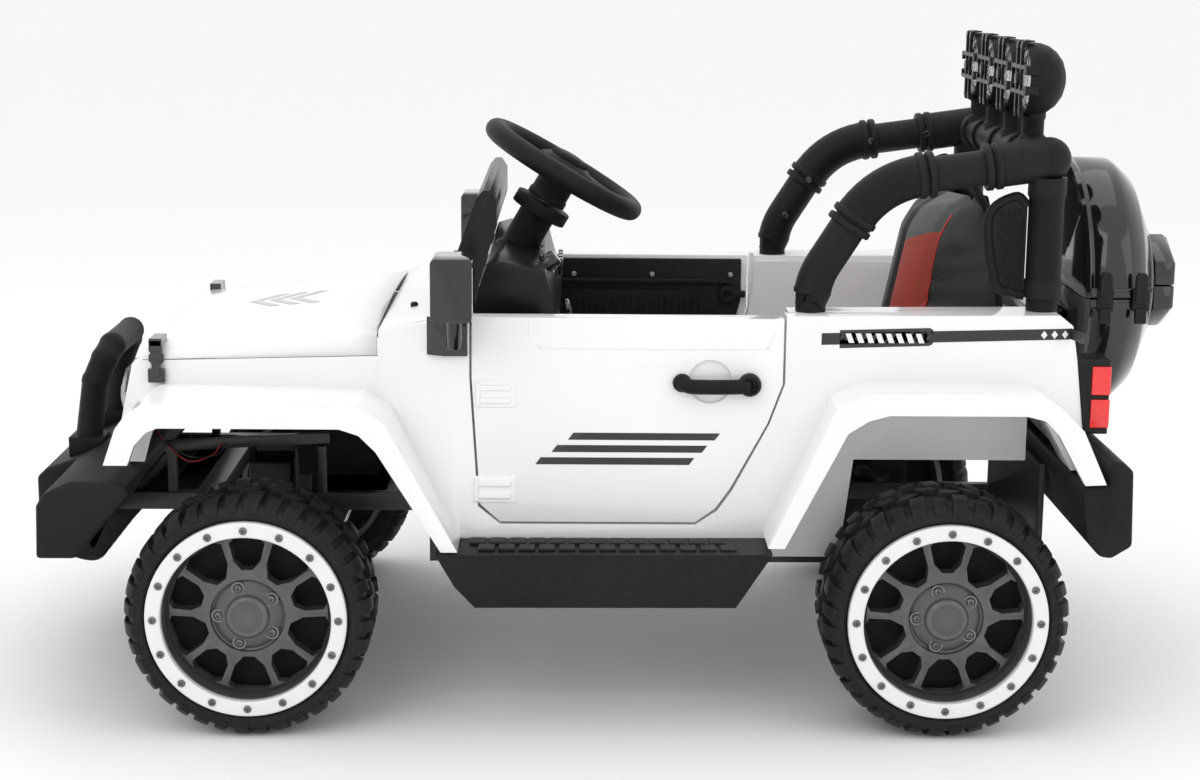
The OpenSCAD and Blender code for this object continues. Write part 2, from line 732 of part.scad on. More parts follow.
body_shell();
hood();
grille();
grille_insert();
headlights();
hood_latches();
windscreen_frame();
dashboard();
cabin_tub();
seat_shell();
seat_cushion();
foot_pedal();
steering_column();
roll_bar();
side_mesh_panels();
lamp_housings();
lamp_lenses();
spare_box_base();
front_bumper();
bull_bar();
skid_plate();
rear_bumper();
side_steps();
tail_lights();
tail_lenses();
mirrors();
chassis_frame();
front_axle();
rear_axle();
rear_gearboxes();
battery();
door();  // door_left
door_trim();  // door_trim_left
door_handle();  // door_handle_left
mirror([0, 1, 0]) door();  // door_right
mirror([0, 1, 0]) door_trim();  // door_trim_right
mirror([0, 1, 0]) door_handle();  // door_handle_right
steering_wheel();
steering_shaft();
knuckle();  // knuckle_left
mirror([0, 1, 0]) knuckle();  // knuckle_right
front_gearbox();  // front_gearbox_left
mirror([0, 1, 0]) front_gearbox();  // front_gearbox_right
tie_rod();
spare_box_lid();
at_wheel(xf, 1) tyre();  // tyre_front_left
at_wheel(xf, 1) rim();  // rim_front_left
at_wheel(xf, -1) tyre();  // tyre_front_right
at_wheel(xf, -1) rim();  // rim_front_right
at_wheel(xr, 1) tyre();  // tyre_rear_left
at_wheel(xr, 1) rim();  // rim_rear_left
at_wheel(xr, -1) tyre();  // tyre_rear_right
at_wheel(xr, -1) rim();  // rim_rear_right
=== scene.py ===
# %% [markdown]
# # A child's ride-on off-road car
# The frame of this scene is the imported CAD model: it says where every piece is and how it moves. This script
# dresses that frame with softer shapes and real finishes, and never moves a CAD part. Lengths are metres, +X
# is forward, +Y is the car's left and z = 0 is the ground.

# %% Load the frame
import bpy
import bmesh
import json
import math
from mathutils import Euler, Matrix, Vector
from mathutils.bvhtree import BVHTree

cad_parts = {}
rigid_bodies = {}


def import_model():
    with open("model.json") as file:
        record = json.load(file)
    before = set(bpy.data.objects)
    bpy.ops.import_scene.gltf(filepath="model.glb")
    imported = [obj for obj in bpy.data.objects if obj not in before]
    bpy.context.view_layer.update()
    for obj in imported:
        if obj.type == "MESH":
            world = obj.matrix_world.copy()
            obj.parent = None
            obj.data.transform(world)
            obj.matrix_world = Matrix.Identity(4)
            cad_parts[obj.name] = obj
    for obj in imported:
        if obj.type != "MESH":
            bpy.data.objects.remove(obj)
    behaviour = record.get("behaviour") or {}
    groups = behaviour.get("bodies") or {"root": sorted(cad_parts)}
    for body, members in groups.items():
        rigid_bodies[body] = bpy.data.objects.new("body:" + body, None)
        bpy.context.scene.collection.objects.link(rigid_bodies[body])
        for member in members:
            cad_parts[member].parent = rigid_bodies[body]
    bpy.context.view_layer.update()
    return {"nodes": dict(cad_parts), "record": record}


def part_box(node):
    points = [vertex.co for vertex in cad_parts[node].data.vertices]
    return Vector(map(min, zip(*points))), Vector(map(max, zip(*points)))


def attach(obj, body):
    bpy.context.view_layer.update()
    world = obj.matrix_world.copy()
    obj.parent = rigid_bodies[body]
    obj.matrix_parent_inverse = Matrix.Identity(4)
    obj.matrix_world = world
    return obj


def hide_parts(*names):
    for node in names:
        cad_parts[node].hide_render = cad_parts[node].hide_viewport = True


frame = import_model()
MM = 0.001
WHEELS = ("front_left", "front_right", "rear_left", "rear_right")
SIDES = (("left", 1), ("right", -1))


# %% [markdown]
# Everything is placed from a few stations of the frame: the two axles, the axle height and the sill, which is
# the height of the door tops. They are read from the CAD parts' own boxes, so a change in the CAD carries
# over.

# %% Stations of the frame
def middle(node):
    low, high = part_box(node)
    return (low + high) / 2


def size_of(node):
    low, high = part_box(node)
    return high - low


AXLE_X = {"front": middle("tyre_front_left").x, "rear": middle("tyre_rear_left").x}
AXLE_Z = middle("tyre_front_left").z
TYRE_W = size_of("tyre_front_left").y
SILL_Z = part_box("door_left")[1].z
SIDE_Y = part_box("door_left")[1].y


def at(end, dx, dz):
    """A point of the side view, in millimetres from an axle."""
    return AXLE_X[end] + dx * MM, AXLE_Z + dz * MM


def on_sill(end, dx, dz):
    """A point of the side view, in millimetres from an axle's station and the sill's height."""
    return AXLE_X[end] + dx * MM, SILL_Z + dz * MM


print("axles at", {k: round(v, 3) for k, v in AXLE_X.items()}, "and the sill at", round(SILL_Z, 3))

# %% [markdown]
# The camera comes before the pieces, because it decides which of them are seen closely. It stands on the
# car's left, a little above the lamps, and looks slightly down. The floor is a plain pale sheet, and three
# large soft lights and a white sky give the even light of a catalogue studio.

# %% Camera
CAMERA_AT = Vector((0.0476, 2.5448, 0.8377))
TILT, ROLL, HEADING = 78.4345, -0.4701, 179.3263
camera = bpy.data.objects.new("camera", bpy.data.cameras.new("camera"))
bpy.context.scene.collection.objects.link(camera)
bpy.context.scene.camera = camera
aim = Euler([math.radians(angle) for angle in (TILT, ROLL, HEADING)])
camera.matrix_world = Matrix.Translation(CAMERA_AT) @ aim.to_matrix().to_4x4()
camera.data.lens = 63.42
camera.data.sensor_width = 36
camera.data.clip_end = 60
print("camera at", [round(v, 2) for v in CAMERA_AT])

# %% [markdown]
# Most pieces come from four simple ways of making a shape: turn an outline about an axis, push an outline
# across the car, run a tube along a line, or copy a CAD part and soften it. Small helpers for them keep the
# later cells short.


# %% Helpers that make shapes
def piece(name, points, faces):
    """A new object from points and faces."""
    mesh = bpy.data.meshes.new(name)
    mesh.from_pydata([tuple(p) for p in points], [], faces)
    made = bpy.data.objects.new(name, mesh)
    bpy.context.scene.collection.objects.link(made)
    return made


def weld(shape, gap=0.00001):
    """Merges doubled points and turns all faces outwards."""
    work = bmesh.new()
    work.from_mesh(shape.data)
    bmesh.ops.remove_doubles(work, verts=work.verts, dist=gap)
    bmesh.ops.dissolve_degenerate(work, edges=work.edges, dist=gap)
    bmesh.ops.recalc_face_normals(work, faces=work.faces)
    work.to_mesh(shape.data)
    work.free()
    return shape


def turned(name, outline, steps=72, share=1.0):
    """A ring of (radius, height) outline points turned about Z."""
    count = len(outline)
    closed = share >= 1.0
    rings = steps if closed else steps + 1
    points = []
    for step in range(rings):
        angle = math.tau * share * step / steps
        points += [(r * math.cos(angle), r * math.sin(angle), h) for r, h in outline]
    faces = []
    for step in range(steps):
        here, there = step * count, ((step + 1) % rings) * count
        faces += [
            (here + i, there + i, there + (i + 1) % count, here + (i + 1) % count) for i in range(count)
        ]
    if not closed:
        faces += [tuple(range(count)), tuple(reversed(range(steps * count, (steps + 1) * count)))]
    return weld(piece(name, points, faces))


def across(name, outline, y0, y1):
    """A side-view outline pushed across the car from y0 to y1."""
    count = len(outline)
    points = [(x, y, z) for y in (y0, y1) for x, z in outline]
    faces = [(i, (i + 1) % count, count + (i + 1) % count, count + i) for i in range(count)]
    faces += [tuple(range(count)), tuple(reversed(range(count, 2 * count)))]
    return weld(piece(name, points, faces))


def block(name, low, high):
    (x0, y0, z0), (x1, y1, z1) = low, high
    return across(name, [(x0, z0), (x1, z0), (x1, z1), (x0, z1)], y0, y1)


def smooth_line(points, steps=8):
    """A curve through the points, as closely spaced points."""
    line = [Vector(p) for p in points]
    line = [2 * line[0] - line[1]] + line + [2 * line[-1] - line[-2]]
    made = []
    for a, b, c, d in zip(line, line[1:], line[2:], line[3:]):
        for i in range(steps):
            t = i / steps
            made.append(
                0.5 * (
                    2 * b + (c - a) * t + (2 * a - 5 * b + 4 * c - d) * t * t
                    + (3 * b - a - 3 * c + d) * t ** 3
                )
            )
    return made + [line[-2]]


def tube(name, line, radius, sides=20):
    """A closed round tube along a line. The radius is one number, or one for each point."""
    line = [Vector(p) for p in line]
    radii = radius if isinstance(radius, (list, tuple)) else [radius] * len(line)
    points, faces = [], []
    side = None
    for i, here in enumerate(line):
        ahead = (line[min(i + 1, len(line) - 1)] - line[max(i - 1, 0)]).normalized()
        if side is None:
            side = ahead.orthogonal().normalized()
        side = (side - ahead * side.dot(ahead)).normalized()
        other = ahead.cross(side)
        for k in range(sides):
            angle = math.tau * k / sides
            points.append(here + radii[i] * (math.cos(angle) * side + math.sin(angle) * other))
    for i in range(len(line) - 1):
        a, b = i * sides, (i + 1) * sides
        faces += [(a + k, a + (k + 1) % sides, b + (k + 1) % sides, b + k) for k in range(sides)]
    faces += [tuple(range(sides)), tuple(range(len(points) - sides, len(points)))]
    return weld(piece(name, points, faces))


def moved(shape, matrix):
    shape.data.transform(matrix)
    if matrix.is_negative:
        shape.data.flip_normals()
    return shape


def twin(shape, name, matrix):
    """A copy of a shape at another place."""
    made = shape.copy()
    made.data = shape.data.copy()
    made.name = name
    bpy.context.scene.collection.objects.link(made)
    return moved(made, matrix)


MIRROR = Matrix.Diagonal((1, -1, 1, 1))


def joined(name, shapes):
    """Several shapes as one object."""
    work = bmesh.new()
    for shape in shapes:
        work.from_mesh(shape.data)
        bpy.data.objects.remove(shape)
    mesh = bpy.data.meshes.new(name)
    work.to_mesh(mesh)
    work.free()
    made = bpy.data.objects.new(name, mesh)
    bpy.context.scene.collection.objects.link(made)
    return made


def plain(shape):
    """The shape with its modifiers made real."""
    shown = shape.evaluated_get(bpy.context.evaluated_depsgraph_get())
    mesh = bpy.data.meshes.new_from_object(shown)
    shape.modifiers.clear()
    shape.data = mesh
    return shape


def soften(shape, width, steps=2, angle=32):
    """Rounds the edges sharper than an angle, and shades the rest smooth."""
    shape.data.shade_smooth()
    bevel = shape.modifiers.new("rounded edges", "BEVEL")
    bevel.width = width
    bevel.segments = steps
    bevel.limit_method = "ANGLE"
    bevel.angle_limit = math.radians(angle)
    bevel.miter_outer = "MITER_ARC"
    bevel.harden_normals = True
    return shape


def crisp(shape, angle):
    """Shades a shape smooth, but keeps its edges sharper than an angle, in degrees."""
    shape.data.shade_smooth()
    shape.data.set_sharp_from_angle(angle=math.radians(angle))
    return shape


def cut(shape, tool):
    """The shape less a tool's solid."""
    hole = shape.modifiers.new("cut", "BOOLEAN")
    hole.operation = "DIFFERENCE"
    hole.solver = "EXACT"
    hole.object = tool
    plain(shape)
    bpy.data.objects.remove(tool)
    return shape


def done(shape, body, material, slot=None, *nodes):
    """Gives a finished shape its material, its body and the CAD parts that it stands for."""
    shape.data.materials.clear()
    shape.data.materials.append(material)
    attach(shape, body)
    if nodes:
        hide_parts(*nodes)
    return shape


def from_cad(node, name, width, steps=2):
    """A copy of a CAD part with its flat faces joined up and its edges rounded."""
    shape = piece(name, [], [])
    shape.data = frame["nodes"][node].data.copy()
    shape.data.name = name
    weld(shape)
    work = bmesh.new()
    work.from_mesh(shape.data)
    bmesh.ops.dissolve_limit(work, angle_limit=math.radians(0.6), verts=work.verts, edges=work.edges)
    work.to_mesh(shape.data)
    work.free()
    return soften(shape, width, steps)


print("shape helpers are ready")

# %% [markdown]
# Screws, nuts, tread blocks and ribs repeat, so Geometry Nodes make them. One tree copies a shape round an
# axis, and another sets copies along a line. Both end with Realize Instances, so that the copies are real
# faces, and Set Material. The result is then turned into a plain mesh.


# %% Geometry Nodes that repeat a shape
def add(tree, kind, inputs=None, **settings):
    """A node with its settings and inputs. An input is a value or another node's socket."""
    made = tree.nodes.new(kind)
    for key, value in settings.items():
        setattr(made, key, value)
    for key, value in (inputs or {}).items():
        if isinstance(value, bpy.types.NodeSocket):
            tree.links.new(value, made.inputs[key])
        else:
            made.inputs[key].default_value = value
    return made


def repeating_tree(name, sizes):
    tree = bpy.data.node_groups.new(name, "GeometryNodeTree")
    tree.interface.new_socket("Geometry", in_out="INPUT", socket_type="NodeSocketGeometry")
    for label, kind in sizes:
        tree.interface.new_socket(label, in_out="INPUT", socket_type=kind)
    tree.interface.new_socket("Material", in_out="INPUT", socket_type="NodeSocketMaterial")
    tree.interface.new_socket("Geometry", in_out="OUTPUT", socket_type="NodeSocketGeometry")
    start = tree.nodes.new("NodeGroupInput")
    return tree, start


def end_tree(tree, start, copies):
    real = add(tree, "GeometryNodeRealizeInstances", {"Geometry": copies})
    finish = add(
        tree, "GeometryNodeSetMaterial", {"Geometry": real.outputs[0], "Material": start.outputs["Material"]}
    )
    out = tree.nodes.new("NodeGroupOutput")
    tree.links.new(finish.outputs[0], out.inputs[0])
    return tree


def ring_tree():
    """Copies the shape Count times round the Z axis."""
    tree, start = repeating_tree("copies round an axis", [("Count", "NodeSocketInt")])
    spots = add(tree, "GeometryNodeMeshLine", {"Count": start.outputs["Count"], "Offset": (0, 0, 0)})
    index = add(tree, "GeometryNodeInputIndex")
    share = add(tree, "ShaderNodeMath", {0: index.outputs[0], 1: start.outputs["Count"]}, operation="DIVIDE")
    angle = add(tree, "ShaderNodeMath", {0: share.outputs[0], 1: math.tau}, operation="MULTIPLY")
    turn = add(tree, "ShaderNodeCombineXYZ", {"Z": angle.outputs[0]})
    copies = add(
        tree,
        "GeometryNodeInstanceOnPoints",
        {"Points": spots.outputs[0], "Instance": start.outputs["Geometry"], "Rotation": turn.outputs[0]},
    )
    return end_tree(tree, start, copies.outputs[0])


def row_tree():
    """Copies the shape Count times, one Step apart, and a second row after Shift, Rows times."""
    sizes = [
        ("Count", "NodeSocketInt"), ("Step", "NodeSocketVector"), ("Rows", "NodeSocketInt"),
        ("Shift", "NodeSocketVector"),
    ]
    tree, start = repeating_tree("copies in rows", sizes)
    spots = add(
        tree, "GeometryNodeMeshLine", {"Count": start.outputs["Count"], "Offset": start.outputs["Step"]}
    )
    copies = add(
        tree, "GeometryNodeInstanceOnPoints",
        {"Points": spots.outputs[0], "Instance": start.outputs["Geometry"]}
    )
    rows = add(
        tree, "GeometryNodeMeshLine", {"Count": start.outputs["Rows"], "Offset": start.outputs["Shift"]}
    )
    all_rows = add(
        tree, "GeometryNodeInstanceOnPoints", {"Points": rows.outputs[0], "Instance": copies.outputs[0]}
    )
    return end_tree(tree, start, all_rows.outputs[0])


RING = ring_tree()
ROWS = row_tree()


def repeat(shape, tree, material, **sizes):
    """Runs a tree on a shape and keeps the result as a plain mesh."""
    run = shape.modifiers.new("repeat", "NODES")
    run.node_group = tree
    keys = {s.name: s.identifier for s in tree.interface.items_tree if s.in_out == "INPUT"}
    for label, value in sizes.items():
        run[keys[label]] = value
    run[keys["Material"]] = material
    return plain(shape)


print("node trees:", RING.name, "and", ROWS.name)

# %% [markdown]
# Two effects are shared by all the finishes. One is the fine grain that the mould leaves, which a Bump node
# turns into small slopes. The other is wear: edges are a little paler, and broad patches differ slightly. Both
# are node groups with their own inputs, and each material places them with its own values.


# %% Shared shader groups
def effect(name, inputs, outputs):
    tree = bpy.data.node_groups.new(name, "ShaderNodeTree")
    for label, kind in inputs:
        tree.interface.new_socket(label, in_out="INPUT", socket_type="NodeSocket" + kind)
    for label, kind in outputs:
        tree.interface.new_socket(label, in_out="OUTPUT", socket_type="NodeSocket" + kind)
    return tree, tree.nodes.new("NodeGroupInput"), tree.nodes.new("NodeGroupOutput")


def grain_group():
    tree, start, out = effect(
        "Mould grain", [("Vector", "Vector"), ("Scale", "Float"), ("Depth", "Float")], [("Normal", "Vector")]
    )
    place, scale = start.outputs["Vector"], start.outputs["Scale"]
    cells = add(tree, "ShaderNodeTexVoronoi", {"Vector": place, "Scale": scale})
    noise = add(tree, "ShaderNodeTexNoise", {"Vector": place, "Scale": scale, "Detail": 3.0})
    both = add(
        tree, "ShaderNodeMath", {0: cells.outputs["Distance"], 1: noise.outputs["Fac"]}, operation="ADD"
    )
    bump = add(
        tree, "ShaderNodeBump",
        {"Height": both.outputs[0], "Strength": start.outputs["Depth"], "Distance": 0.001}
    )
    tree.links.new(bump.outputs[0], out.inputs["Normal"])
    return tree


def wear_group():
    inputs = [
        ("Vector", "Vector"), ("Colour", "Color"), ("Worn Colour", "Color"), ("Amount", "Float"),
        ("Roughness", "Float"), ("Spread", "Float"),
    ]
    tree, start, out = effect("Handling wear", inputs, [("Colour", "Color"), ("Roughness", "Float")])
    place = start.outputs["Vector"]
    broad = add(tree, "ShaderNodeTexNoise", {"Vector": place, "Scale": 9.0, "Detail": 4.0})
    fine = add(tree, "ShaderNodeTexNoise", {"Vector": place, "Scale": 160.0, "Detail": 5.0})
    shape = add(tree, "ShaderNodeNewGeometry")
    edge = add(
        tree, "ShaderNodeMapRange",
        {
            "Value": shape.outputs["Pointiness"], "From Min": 0.505, "From Max": 0.56, "To Min": 0.0,
            "To Max": 1.0
        }
    )
    rubbed = add(tree, "ShaderNodeMath", {0: edge.outputs[0], 1: fine.outputs["Fac"]}, operation="MULTIPLY")
    patch = add(
        tree, "ShaderNodeMapRange",
        {"Value": broad.outputs["Fac"], "From Min": 0.4, "From Max": 0.75, "To Min": 0.0, "To Max": 0.35},
    )
    total = add(tree, "ShaderNodeMath", {0: rubbed.outputs[0], 1: patch.outputs[0]}, operation="ADD")
    amount = add(
        tree, "ShaderNodeMath", {0: total.outputs[0], 1: start.outputs["Amount"]}, operation="MULTIPLY",
        use_clamp=True,
    )
    colour = tree.nodes.new("ShaderNodeMixRGB")
    tree.links.new(amount.outputs[0], colour.inputs[0])
    tree.links.new(start.outputs["Colour"], colour.inputs[1])
    tree.links.new(start.outputs["Worn Colour"], colour.inputs[2])
    swing = add(tree, "ShaderNodeMath", {0: broad.outputs["Fac"], 1: -0.5}, operation="ADD")
    rough = add(
        tree, "ShaderNodeMath",
        {0: swing.outputs[0], 1: start.outputs["Spread"], 2: start.outputs["Roughness"]},
        operation="MULTIPLY_ADD"
    )
    tree.links.new(colour.outputs[0], out.inputs["Colour"])
    tree.links.new(rough.outputs[0], out.inputs["Roughness"])
    return tree


GRAIN = grain_group()
WEAR = wear_group()
print("shader groups:", GRAIN.name, "and", WEAR.name)

# %% [markdown]
# The real car is moulded in a few plastics: gloss white for the body, fine-grained satin black for bumpers
# and bars, gloss black for the box and mirrors, a harder satin black for the tyres and a dark metallic grey
# for the wheels. One function makes them all, because only colour, gloss, grain and wear differ.


# %% Moulded plastics and painted metal
def finish_of(name, colour, roughness, grain, depth, worn, amount, spread=0.12, **sockets):
    """A material from the two shared groups. Extra sockets are constants of the shader."""
    material = bpy.data.materials.new(name)
    material.use_nodes = True
    tree = material.node_tree
    shader = tree.nodes["Principled BSDF"]
    place = add(tree, "ShaderNodeTexCoord").outputs["Object"]
    wear = add(
        tree, "ShaderNodeGroup",
        {"Vector": place, "Colour": (*colour, 1), "Worn Colour": (*worn, 1), "Amount": amount,
         "Roughness": roughness, "Spread": spread},
        node_tree=WEAR,
    )
    relief = add(tree, "ShaderNodeGroup", {"Vector": place, "Scale": grain, "Depth": depth}, node_tree=GRAIN)
    tree.links.new(wear.outputs["Colour"], shader.inputs["Base Color"])
    tree.links.new(wear.outputs["Roughness"], shader.inputs["Roughness"])
    tree.links.new(relief.outputs["Normal"], shader.inputs["Normal"])
    for label, value in sockets.items():
        shader.inputs[label.replace("_", " ")].default_value = value
    material.diffuse_color = (*colour, 1)
    return material


WHITE = finish_of("white gloss shell", (0.86, 0.865, 0.87), 0.16, 45, 0.03, (0.80, 0.80, 0.79), 0.25, 0.08,
                  Coat_Weight=0.35, Coat_Roughness=0.06)
# The tub is the shell's white plastic in shadow under the seat, so its darker white is painted shade.
WHITE_SATIN_SHADED = finish_of("white satin tub with painted shade", (0.80, 0.80, 0.80), 0.38, 700, 0.10, (0.72, 0.72, 0.71), 0.3)
BLACK_SATIN = finish_of(
    "black grained plastic", (0.006, 0.006, 0.0065), 0.46, 1100, 0.30, (0.028, 0.028, 0.028), 0.5,
    Specular_IOR_Level=0.16
)
BLACK_SMOOTH = finish_of(
    "black semi-gloss plastic", (0.006, 0.006, 0.006), 0.30, 500, 0.06, (0.025, 0.025, 0.025), 0.4,
    Specular_IOR_Level=0.22
)
BLACK_GLOSS = finish_of(
    "black gloss plastic", (0.006, 0.006, 0.0065), 0.10, 50, 0.03, (0.02, 0.02, 0.02), 0.4, 0.08,
    Coat_Weight=0.5, Coat_Roughness=0.04
)
TYRE = finish_of("black tyre plastic", (0.006, 0.006, 0.006), 0.42, 800, 0.20, (0.028, 0.028, 0.028), 0.6,
                Specular_IOR_Level=0.18)
WHEEL = finish_of("dark metallic wheel", (0.085, 0.085, 0.088), 0.36, 1500, 0.08, (0.20, 0.20, 0.205), 0.5,
                  Metallic=0.45)
RING_WHITE = finish_of("white bead ring", (0.80, 0.80, 0.80), 0.30, 900, 0.08, (0.70, 0.70, 0.69), 0.35)
SCREW = finish_of("dark screw", (0.10, 0.10, 0.105), 0.40, 1400, 0.10, (0.30, 0.30, 0.30), 0.7, Metallic=0.8)
STEEL = finish_of(
    "zinc plated steel", (0.55, 0.55, 0.56), 0.34, 900, 0.12, (0.35, 0.34, 0.33), 0.5, Metallic=1.0
)
BLACK_STEEL = finish_of(
    "black painted steel", (0.013, 0.013, 0.013), 0.36, 260, 0.12, (0.07, 0.065, 0.06), 0.6
)
MIRROR_FACE = finish_of(
    "mirror film", (0.75, 0.76, 0.78), 0.06, 30, 0.03, (0.6, 0.6, 0.6), 0.2, 0.04, Metallic=1.0
)
CHROME = finish_of(
    "bright reflector", (0.72, 0.72, 0.73), 0.14, 90, 0.25, (0.5, 0.5, 0.5), 0.3, 0.06, Metallic=1.0
)
PRINT = finish_of("dark print", (0.022, 0.022, 0.023), 0.42, 900, 0.06, (0.10, 0.10, 0.10), 0.4)
PRINT_GREY = finish_of("grey print", (0.55, 0.55, 0.56), 0.38, 900, 0.06, (0.66, 0.66, 0.66), 0.4)
RED_GLOSS = finish_of("red button", (0.62, 0.012, 0.015), 0.22, 300, 0.05, (0.75, 0.08, 0.07), 0.3,
                      Coat_Weight=0.4, Coat_Roughness=0.08)
RED_LENS = finish_of("red lens", (0.78, 0.008, 0.010), 0.12, 420, 0.45, (0.95, 0.06, 0.05), 0.5, 0.05,
                     Coat_Weight=0.6, Coat_Roughness=0.05)
CLEAR = finish_of("clear lens", (0.92, 0.93, 0.95), 0.05, 300, 0.25, (0.85, 0.86, 0.88), 0.3, 0.03,
                  Transmission_Weight=1.0, IOR=1.49)
print(len(bpy.data.materials), "materials so far")

# %% [markdown]
# ## Wheels The tyre is hollow moulded plastic: a smooth carcass with chunky lugs that wrap over its
# shoulders. One pitch of the tread is modelled, and the ring tree copies it round the wheel. All four wheels
# are the same, so each piece is made once, lying on its side at the origin with its outer face up, and then
# placed four times.

# %% Places of the four wheels
PITCHES = 18


def wheel_place(name):
    """From the wheel's own frame, with +Z out of the car, to its place on the car."""
    low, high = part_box("tyre_" + name)
    centre = (low + high) / 2
    side = 1 if centre.y > 0 else -1
    return Matrix.Translation(centre) @ Matrix.Rotation(-side * math.pi / 2, 4, "X")


def in_mm(outline):
    return [(a * MM, b * MM) for a, b in outline]


def sector(name, outline, start, stop, steps=3, slant=0.0):
    """A lug: an outline of (radius, height) swept through a small angle, in degrees, and slanted."""
    count = len(outline)
    points, faces = [], []
    for step in range(steps + 1):
        for r, h in outline:
            angle = math.radians(start + (stop - start) * step / steps + slant * h)
            points.append((r * MM * math.cos(angle), r * MM * math.sin(angle), h * MM))
    for step in range(steps):
        a, b = step * count, (step + 1) * count
        faces += [(a + i, b + i, b + (i + 1) % count, a + (i + 1) % count) for i in range(count)]
    faces += [tuple(range(count)), tuple(range(steps * count, (steps + 1) * count))]
    return weld(piece(name, points, faces))


# %% Tyre carcass and one pitch of tread
h = TYRE_W / 2 / MM
carcass = [
    (98, -48), (109.5, -50), (111, -54), (115, -56), (121, -55), (126, -50), (128.5, -40), (129.5, -20),
    (129.5, 20), (128.5, 40), (126, 50), (121, 55), (115, 56), (111, 54), (109.5, 50), (98, 50)
]
tyre_body = turned("tyre body", in_mm(carcass), 96)
tyre_body.data.shade_smooth()

long_lug = [
    (115, 54), (116.5, 56.6), (124, 56.4), (130, 51), (134, 42), (134.9, 30), (134.9, 20), (127, 18),
    (120, 50)
]
short_lug = [(119, 54), (120, 56.4), (126, 55), (131.5, 48), (134.2, 40), (134.6, 33), (127, 31), (121, 50)]
pitch_angle = 360 / PITCHES
lugs = []
for sign in (1, -1):
    shift = 0 if sign > 0 else pitch_angle / 2
    for outline, start, stop, slant in ((long_lug, 0, 7.2, 0.05), (short_lug, 10.4, 16.4, 0.05)):
        shape = [(r, sign * z) for r, z in outline]
        lugs.append(sector("lug", shape, shift + start, shift + stop, 3, slant * sign))
    edge = [(127, sign * 0.5), (134.9, sign * 1.5), (134.9, sign * 14), (127, sign * 15)]
    lugs.append(sector("lug", edge, shift + 2.5, shift + 10.5, 3, 0.28 * sign))
tread = joined("tread", lugs)
soften(tread, 1.1 * MM, 2, 30)
plain(tread)
repeat(tread, RING, TYRE, Count=PITCHES)
print("one tyre's tread has", len(tread.data.polygons), "faces")

# %% [markdown]
# The wheel's face is a dished plate with ten windows. Five are wide and five narrow, and thin straight spokes
# stay between them. The windows are cut with a Boolean modifier, because each is one straight-sided opening,
# and a bevel then gives their rims the bright line that real moulded edges have.

# %% Wheel centre
face_z = h - 21
dish = [
    (8, face_z - 12), (90.5, face_z - 16), (90.5, face_z - 3), (86, face_z), (60, face_z + 2),
    (41, face_z + 6), (40, face_z + 2), (38, face_z + 1), (26, face_z + 7), (8, face_z + 7)
]
plate = turned("wheel plate", in_mm(dish), 90)
wide = [(46.5, 6), (58, 16.5), (80, 24), (86.5, 17), (86.5, -17), (80, -24), (58, -16.5), (46.5, -6)]
narrow = [(51, 6), (60, 14.5), (80, 19.5), (86.5, 13), (86.5, -13), (80, -19.5), (60, -14.5), (51, -6)]
windows = []
for i in range(10):
    outline = wide if i % 2 == 0 else narrow
    prism = across("window", [(x * MM, y * MM) for x, y in outline], -60 * MM, 60 * MM)
    moved(
        prism, Matrix.Rotation(i * math.tau / 10 + math.pi / 2, 4, "Z") @ Matrix.Rotation(math.pi / 2, 4, "X")
    )
    windows.append(prism)
cut(plate, joined("windows", windows))
soften(plate, 1.5 * MM, 2, 28)
plain(plate)
barrel_outline = [
    (97.8, 9 - h), (90.5, 9 - h), (90.5, h - 10), (91.5, h - 6), (94, h - 5.5), (97.8, h - 5.5),
]
barrel = turned("wheel barrel", in_mm(barrel_outline), 96)
soften(barrel, 0.8 * MM, 2)
plain(barrel)
hub = [(6.2, -30), (38, -30), (38, face_z - 13), (6.2, face_z - 13)]
hub_back = turned("hub", in_mm(hub), 48)
cap_outline = [
    (0, face_z + 4), (24.5, face_z + 4), (24, face_z + 10), (21, face_z + 13.5), (17.5, face_z + 14.2),
    (16.5, face_z + 13), (15, face_z + 13.6), (0, face_z + 14.2),
]
cap = turned("cap", in_mm(cap_outline), 64)
cap.data.shade_smooth()
wheel_centre = joined("wheel centre", [plate, barrel, hub_back, cap])
print("the wheel's centre has", len(wheel_centre.data.polygons), "faces")

# %% [markdown]
# The white bead ring carries sixteen dark screws, and five nuts sit in dark cups round the cap. Both come
# from the ring tree.

# %% Bead ring, screws and nuts
ring_outline = [
    (92, h - 5.4), (92, h + 1.5), (93.5, h + 2.8), (107, h + 2.8), (108.8, h + 1.2), (109, h - 6.5),
    (98, h - 6.5)
]
bead_ring = turned("bead ring", in_mm(ring_outline), 120)
soften(bead_ring, 0.6 * MM, 2, 40)
plain(bead_ring)


def screw(radius, height, name="screw"):
    """A round head with a cross-shaped drive, its seat at z = 0."""
    outline = [
        (0, -height), (radius, -height), (radius, height * 0.45), (radius * 0.8, height * 0.95), (0, height)
    ]
    head = turned(name, [(r * MM, z * MM) for r, z in outline], 20)
    slots = []
    for turn in (0, math.pi / 2):
        slot = block("slot", (-radius * 0.55 * MM, -0.12 * radius * MM, height * 0.3 * MM),
                     (radius * 0.55 * MM, 0.12 * radius * MM, 3 * height * MM))
        slots.append(moved(slot, Matrix.Rotation(turn, 4, "Z")))
    for slot in slots:
        cut(head, slot)
    crisp(head, 35)
    return head


